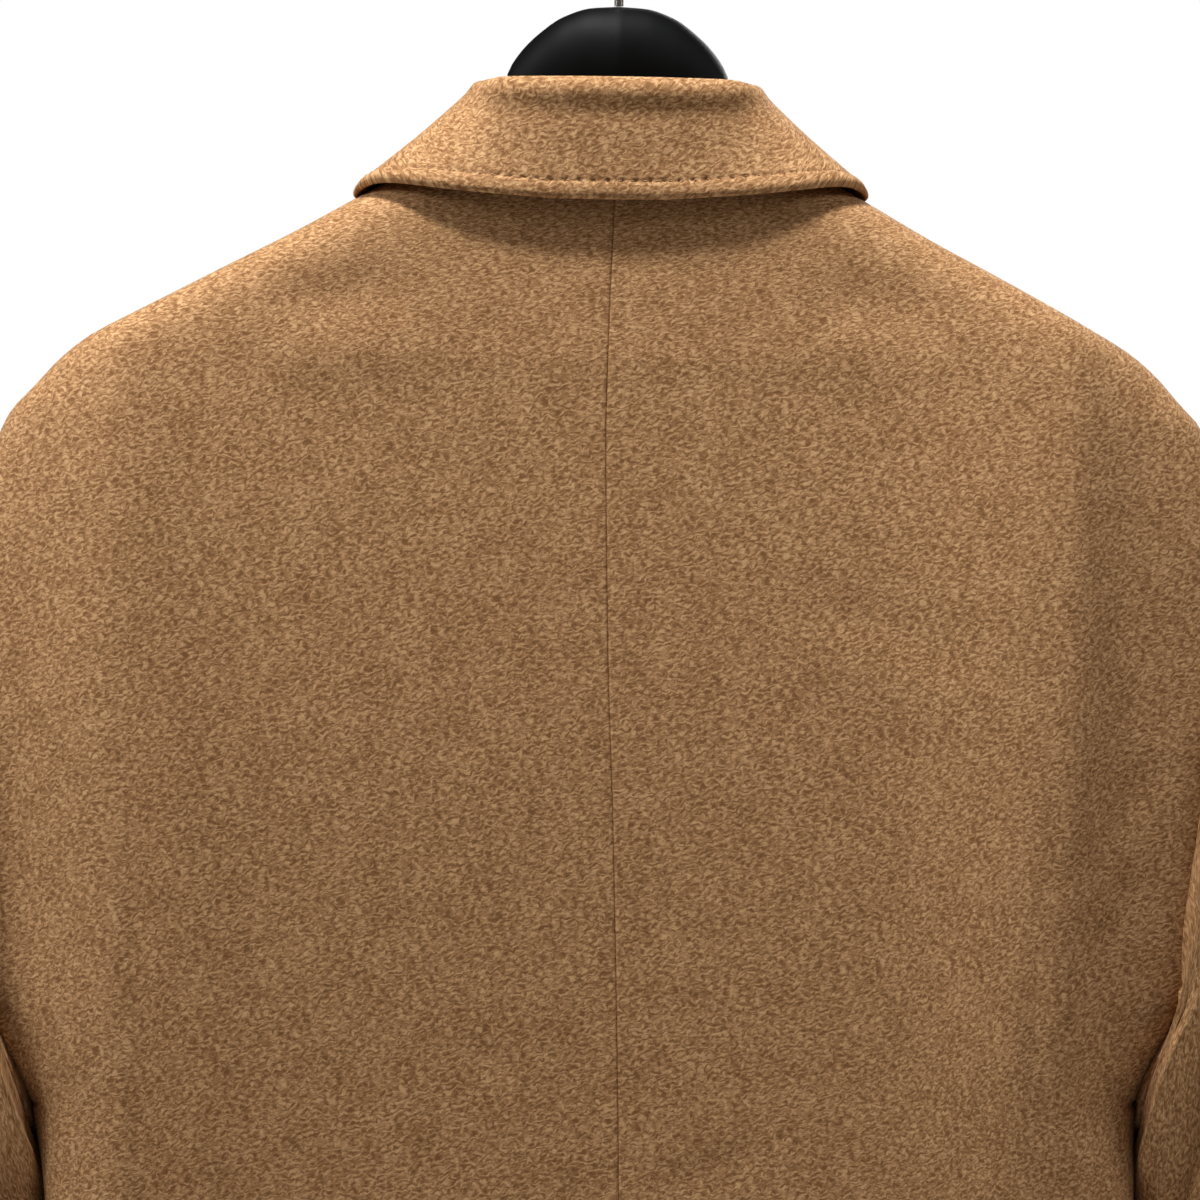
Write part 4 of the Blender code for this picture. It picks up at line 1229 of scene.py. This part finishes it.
class OBJECT_OT_coat_buttons(bpy.types.Operator):
    """Turns six horn buttons and sews each on with crossed thread"""
    bl_idname = "object.coat_buttons"
    bl_label = "Buttons"

    def execute(self, context):
        front = surface_of("front")
        spots = [(drop, x) for drop in BUTTON_DROPS for x in (-BUTTON_X, BUTTON_X)]
        for number, (drop, x) in enumerate(spots, 1):
            angle, level = np.array(angle_at_x(drop, x)), np.array(drop)
            out = Vector(outward(front, body_core, angle, level))
            seat = Vector(hang(front(angle, level))) + Vector((0, -SEAT_GAP, 0))
            turn = Vector((0, 0, 1)).rotation_difference(out).to_matrix().to_4x4()
            place = Matrix.Translation(seat) @ turn
            made = self.turned_disc(f"horn_button_{number}", context.scene.coat_sizes.button / 2, place)
            stand_for(link(made, turned_horn()), f"button_{number}")
            self.add_thread(f"horn_button_{number}_thread", place)
        return {"FINISHED"}

    def turned_disc(self, name, radius, place):
        """A dished disc with a raised rim and four holes, in its place."""
        disc = bmesh.new()
        verts = [disc.verts.new((share * radius, 0.0, height)) for share, height in BUTTON_PROFILE]
        edges = [disc.edges.new(pair) for pair in zip(verts, verts[1:])]
        bmesh.ops.spin(disc, geom=verts + edges, cent=(0, 0, 0), axis=(0, 0, 1), angle=2 * math.pi,
                       steps=BUTTON_SIDES, use_merge=True)
        bmesh.ops.remove_doubles(disc, verts=disc.verts, dist=WELD)
        bmesh.ops.recalc_face_normals(disc, faces=disc.faces)
        holes = bmesh.new()
        for turn in HOLE_TURNS:
            spot = (HOLE_PLACE * math.cos(turn), HOLE_PLACE * math.sin(turn), HOLE_HEIGHT)
            bmesh.ops.create_cone(holes, cap_ends=True, segments=14, radius1=HOLE_RADIUS, radius2=HOLE_RADIUS,
                                  depth=HOLE_DEPTH, matrix=Matrix.Translation(spot))
        blanks = []
        for label, shape in ((name, disc), (name + "_holes", holes)):
            blanks.append(bpy.data.objects.new(label, smooth_data(label, shape)))
            bpy.context.collection.objects.link(blanks[-1])
        bore = blanks[0].modifiers.new("holes", "BOOLEAN")
        bore.operation, bore.solver, bore.object = "DIFFERENCE", "EXACT", blanks[1]
        graph = bpy.context.evaluated_depsgraph_get()
        data = bpy.data.meshes.new_from_object(blanks[0].evaluated_get(graph))
        data.transform(place)
        data.set_sharp_from_angle(angle=BUTTON_SHARP)
        for blank in blanks:
            bpy.data.objects.remove(blank)
        return bpy.data.objects.new(name, data)

    def add_thread(self, name, place):
        """Thread crossed over the holes, and the sewn shank under the disc."""
        thread = bmesh.new()
        for k, turn in enumerate(HOLE_TURNS):
            shift = Matrix.Translation((0, 0, CROSS_HEIGHT + CROSS_STEP * (k % 2)))
            lie = Matrix.Rotation(turn, 4, "Z") @ Matrix.Rotation(math.pi / 2, 4, "Y")
            bmesh.ops.create_uvsphere(thread, u_segments=8, v_segments=7, radius=1.0,
                                      matrix=place @ shift @ lie @ Matrix.Diagonal((*CROSS_SIZE, 1.0)))
        bmesh.ops.create_cone(thread, cap_ends=True, segments=12, radius1=SHANK_FOOT, radius2=SHANK_TOP,
                              depth=SHANK_LENGTH, matrix=place @ Matrix.Translation((0, 0, SHANK_HEIGHT)))
        add_object(name, thread, spun_thread())


class OBJECT_OT_coat_hanger(bpy.types.Operator):
    """Moulds the hanger's domed neck and arms, and bends its hook"""
    bl_idname = "object.coat_hanger"
    bl_label = "Hanger"

    def execute(self, context):
        rows = list(HANGER_NECK)
        back = surface_of("back")
        for drop in ARM_DROPS:
            angle, level = np.array(math.pi / 2), np.array(drop)
            rest = back(angle, level) - outward(back, body_core, angle, level) * (CAD_CLOTH + ARM_REST)
            rows.append((float(rest[0]), float(-rest[2]), float(-rest[2]) + ARM_HEIGHT, ARM_HALF_DEPTH))
        rows = tuple(rows)
        tip = rows[-1][0]
        cap = tip + TIP_LENGTH * np.sin(np.linspace(0.0, math.pi / 2, TIP_STEPS))[1:]
        x = np.concatenate((np.linspace(0.0, NECK_SPAN, NECK_STEPS),
                            np.linspace(NECK_SPAN, tip, ARM_STEPS)[1:], cap))
        x = np.concatenate((-x[:0:-1], x))
        inside = np.minimum(np.abs(x), tip)
        shrink = np.sqrt(np.maximum(0.0, 1 - (np.maximum(np.abs(x) - tip, 0.0) / TIP_LENGTH) ** 2))
        top, bottom, half_depth = (along(rows, HANGER_COLUMNS, column, inside)[:, None]
                                   for column in ("top", "bottom", "half_depth"))
        turns = np.linspace(0.0, 2 * math.pi, HANGER_SIDES)
        height = (bottom - top) / 2 * shrink[:, None]
        places = np.stack((np.broadcast_to(x[:, None], (len(x), len(turns))),
                           half_depth * shrink[:, None] * np.sin(turns),
                           -(top + bottom) / 2 + height * np.cos(turns)), axis=-1)
        moulding = bmesh.new()
        moulding.loops.layers.uv.new("cut")
        down, across = grid_into(moulding, len(turns), len(x))
        for vertex, place in zip(moulding.verts, hang(places)[down, across]):
            vertex.co = place
        bmesh.ops.remove_doubles(moulding, verts=moulding.verts, dist=WELD)
        bmesh.ops.recalc_face_normals(moulding, faces=moulding.faces)
        made = add_object("hanger_moulding", moulding, moulded_plastic())
        stand_for(made, "hanger_body")
        self.add_hook()
        return {"FINISHED"}

    def add_hook(self):
        """Round wire: a stem out of the dome, then an open ring over the rail."""
        dome = HANGER_NECK[0][1]
        line = [(0, 0, -dome + SEAM), (0, 0, -(dome + STEM_TOP) / 2), (0, 0, -STEM_TOP),
                (HOOK_RADIUS / 4, 0, -STEM_TOP + HOOK_RADIUS / 3)]
        for angle in np.radians(np.linspace(HOOK_START, HOOK_END, HOOK_STEPS)):
            line.append((HOOK_RADIUS * math.cos(angle), 0, HOOK_RADIUS * math.sin(angle) - HOOK_RADIUS + WIRE))
        guide = bpy.data.curves.new("hook_wire", "CURVE")
        guide.dimensions = "3D"
        guide.bevel_depth = WIRE
        guide.bevel_resolution = guide.resolution_u = WIRE_STEPS
        guide.use_fill_caps = True
        spline = guide.splines.new("BEZIER")
        spline.bezier_points.add(len(line) - 1)
        for control, point in zip(spline.bezier_points, hang(np.array(line, float))):
            control.co = point
            control.handle_left_type = control.handle_right_type = "AUTO"
        bent = bpy.data.objects.new("hook_wire_guide", guide)
        bpy.context.collection.objects.link(bent)
        data = bpy.data.meshes.new_from_object(bent.evaluated_get(bpy.context.evaluated_depsgraph_get()))
        data.name = "hook_wire"
        data.shade_smooth()
        bpy.data.objects.remove(bent)
        made = link(bpy.data.objects.new("hook_wire", data), plated_wire())
        stand_for(made, "hanger_hook")


class OBJECT_OT_coat_stage(bpy.types.Operator):
    """Sets the pale floor, the soft light and the camera"""
    bl_idname = "object.coat_stage"
    bl_label = "Stage"

    def execute(self, context):
        stage = context.scene.coat_stage
        shape = bmesh.new()
        bmesh.ops.create_grid(shape, x_segments=1, y_segments=1, size=FLOOR_SIZE,
                              matrix=Matrix.Translation((0, 0, CAD_BOX[0][2] - FLOOR_BELOW)))
        floor = bpy.data.objects.new("studio_floor", smooth_data("studio_floor", shape))
        floor.data.materials.append(floor_paint())
        context.collection.objects.link(floor)
        for lamp in LAMPS:
            self.add_light(stage, *lamp)
        self.light_surroundings(context.scene, stage)
        view = bpy.data.cameras.new("camera")
        view.sensor_width = SENSOR_MM
        view.lens = view.sensor_width * stage.camera_distance / stage.frame_width
        camera = bpy.data.objects.new("camera", view)
        camera.location = (CAMERA_X, stage.camera_distance, CAMERA_Z)
        camera.rotation_euler = (math.pi / 2, 0.0, math.pi)
        context.collection.objects.link(camera)
        context.scene.camera = camera
        return {"FINISHED"}

    def add_light(self, stage, name, wide, tall, towards):
        """A soft lamp aimed at the upper back."""
        lamp = bpy.data.lights.new(name + "_light", "AREA")
        lamp.shape = "RECTANGLE"
        lamp.energy = getattr(stage, name + "_power")
        lamp.size, lamp.size_y = wide, tall
        light = bpy.data.objects.new(name + "_light", lamp)
        light.location = Vector(LAMP_TARGET) + Vector(towards)
        light.rotation_euler = (Vector(LAMP_TARGET) - light.location).to_track_quat("-Z", "Y").to_euler()
        bpy.context.collection.objects.link(light)

    def light_surroundings(self, scene, stage):
        """White surroundings for the camera, which light the coat with a dim warm fill."""
        scene.world = bpy.data.worlds.new("white_surroundings")
        scene.world.use_nodes = True
        tree = scene.world.node_tree
        seen = add_node(tree, "ShaderNodeLightPath").outputs["Is Camera Ray"]
        strength = add_node(tree, "ShaderNodeMapRange", {"Value": seen, "To Min": stage.fill, "To Max": 1.0})
        tint = add_node(tree, "ShaderNodeMix", {"Factor": seen, 6: stage.fill_colour, 7: (1.0, 1.0, 1.0, 1.0)},
                        data_type="RGBA")
        feed(tree, tree.nodes["Background"], {"Color": tint.outputs[2], "Strength": strength.outputs[0]})
        scene.view_settings.view_transform = "Standard"


PIECES = (
    OBJECT_OT_coat_backs,
    OBJECT_OT_coat_fronts,
    OBJECT_OT_coat_lapels,
    OBJECT_OT_coat_collar,
    OBJECT_OT_coat_sleeves,
    OBJECT_OT_coat_buttons,
    OBJECT_OT_coat_hanger,
    OBJECT_OT_coat_stage,
)


class VIEW3D_PT_coat(bpy.types.Panel):
    """Lists the coat's pieces, sizes and colours"""
    bl_label = "Coat"
    bl_space_type = "VIEW_3D"
    bl_region_type = "UI"
    bl_category = "Coat"

    def draw(self, context):
        for piece in PIECES:
            self.layout.operator(piece.bl_idname)
        for group in (context.scene.coat_sizes, context.scene.coat_colours, context.scene.coat_stage):
            for name in group.bl_rna.properties.keys():
                if name not in ("rna_type", "name"):
                    self.layout.prop(group, name)


GROUPS = {"coat_sizes": CoatSizes, "coat_colours": CoatColours, "coat_stage": CoatStage}


def register():
    for group in (*GROUPS.values(), *PIECES, VIEW3D_PT_coat):
        bpy.utils.register_class(group)
    for name, group in GROUPS.items():
        setattr(bpy.types.Scene, name, bpy.props.PointerProperty(type=group))


def unregister():
    for name in GROUPS:
        delattr(bpy.types.Scene, name)
    for group in (VIEW3D_PT_coat, *reversed(PIECES), *reversed(GROUPS.values())):
        bpy.utils.unregister_class(group)


def main():
    register()
    for piece in PIECES:
        family, name = piece.bl_idname.split(".")
        getattr(getattr(bpy.ops, family), name)()


if __name__ == "__main__":
    main()
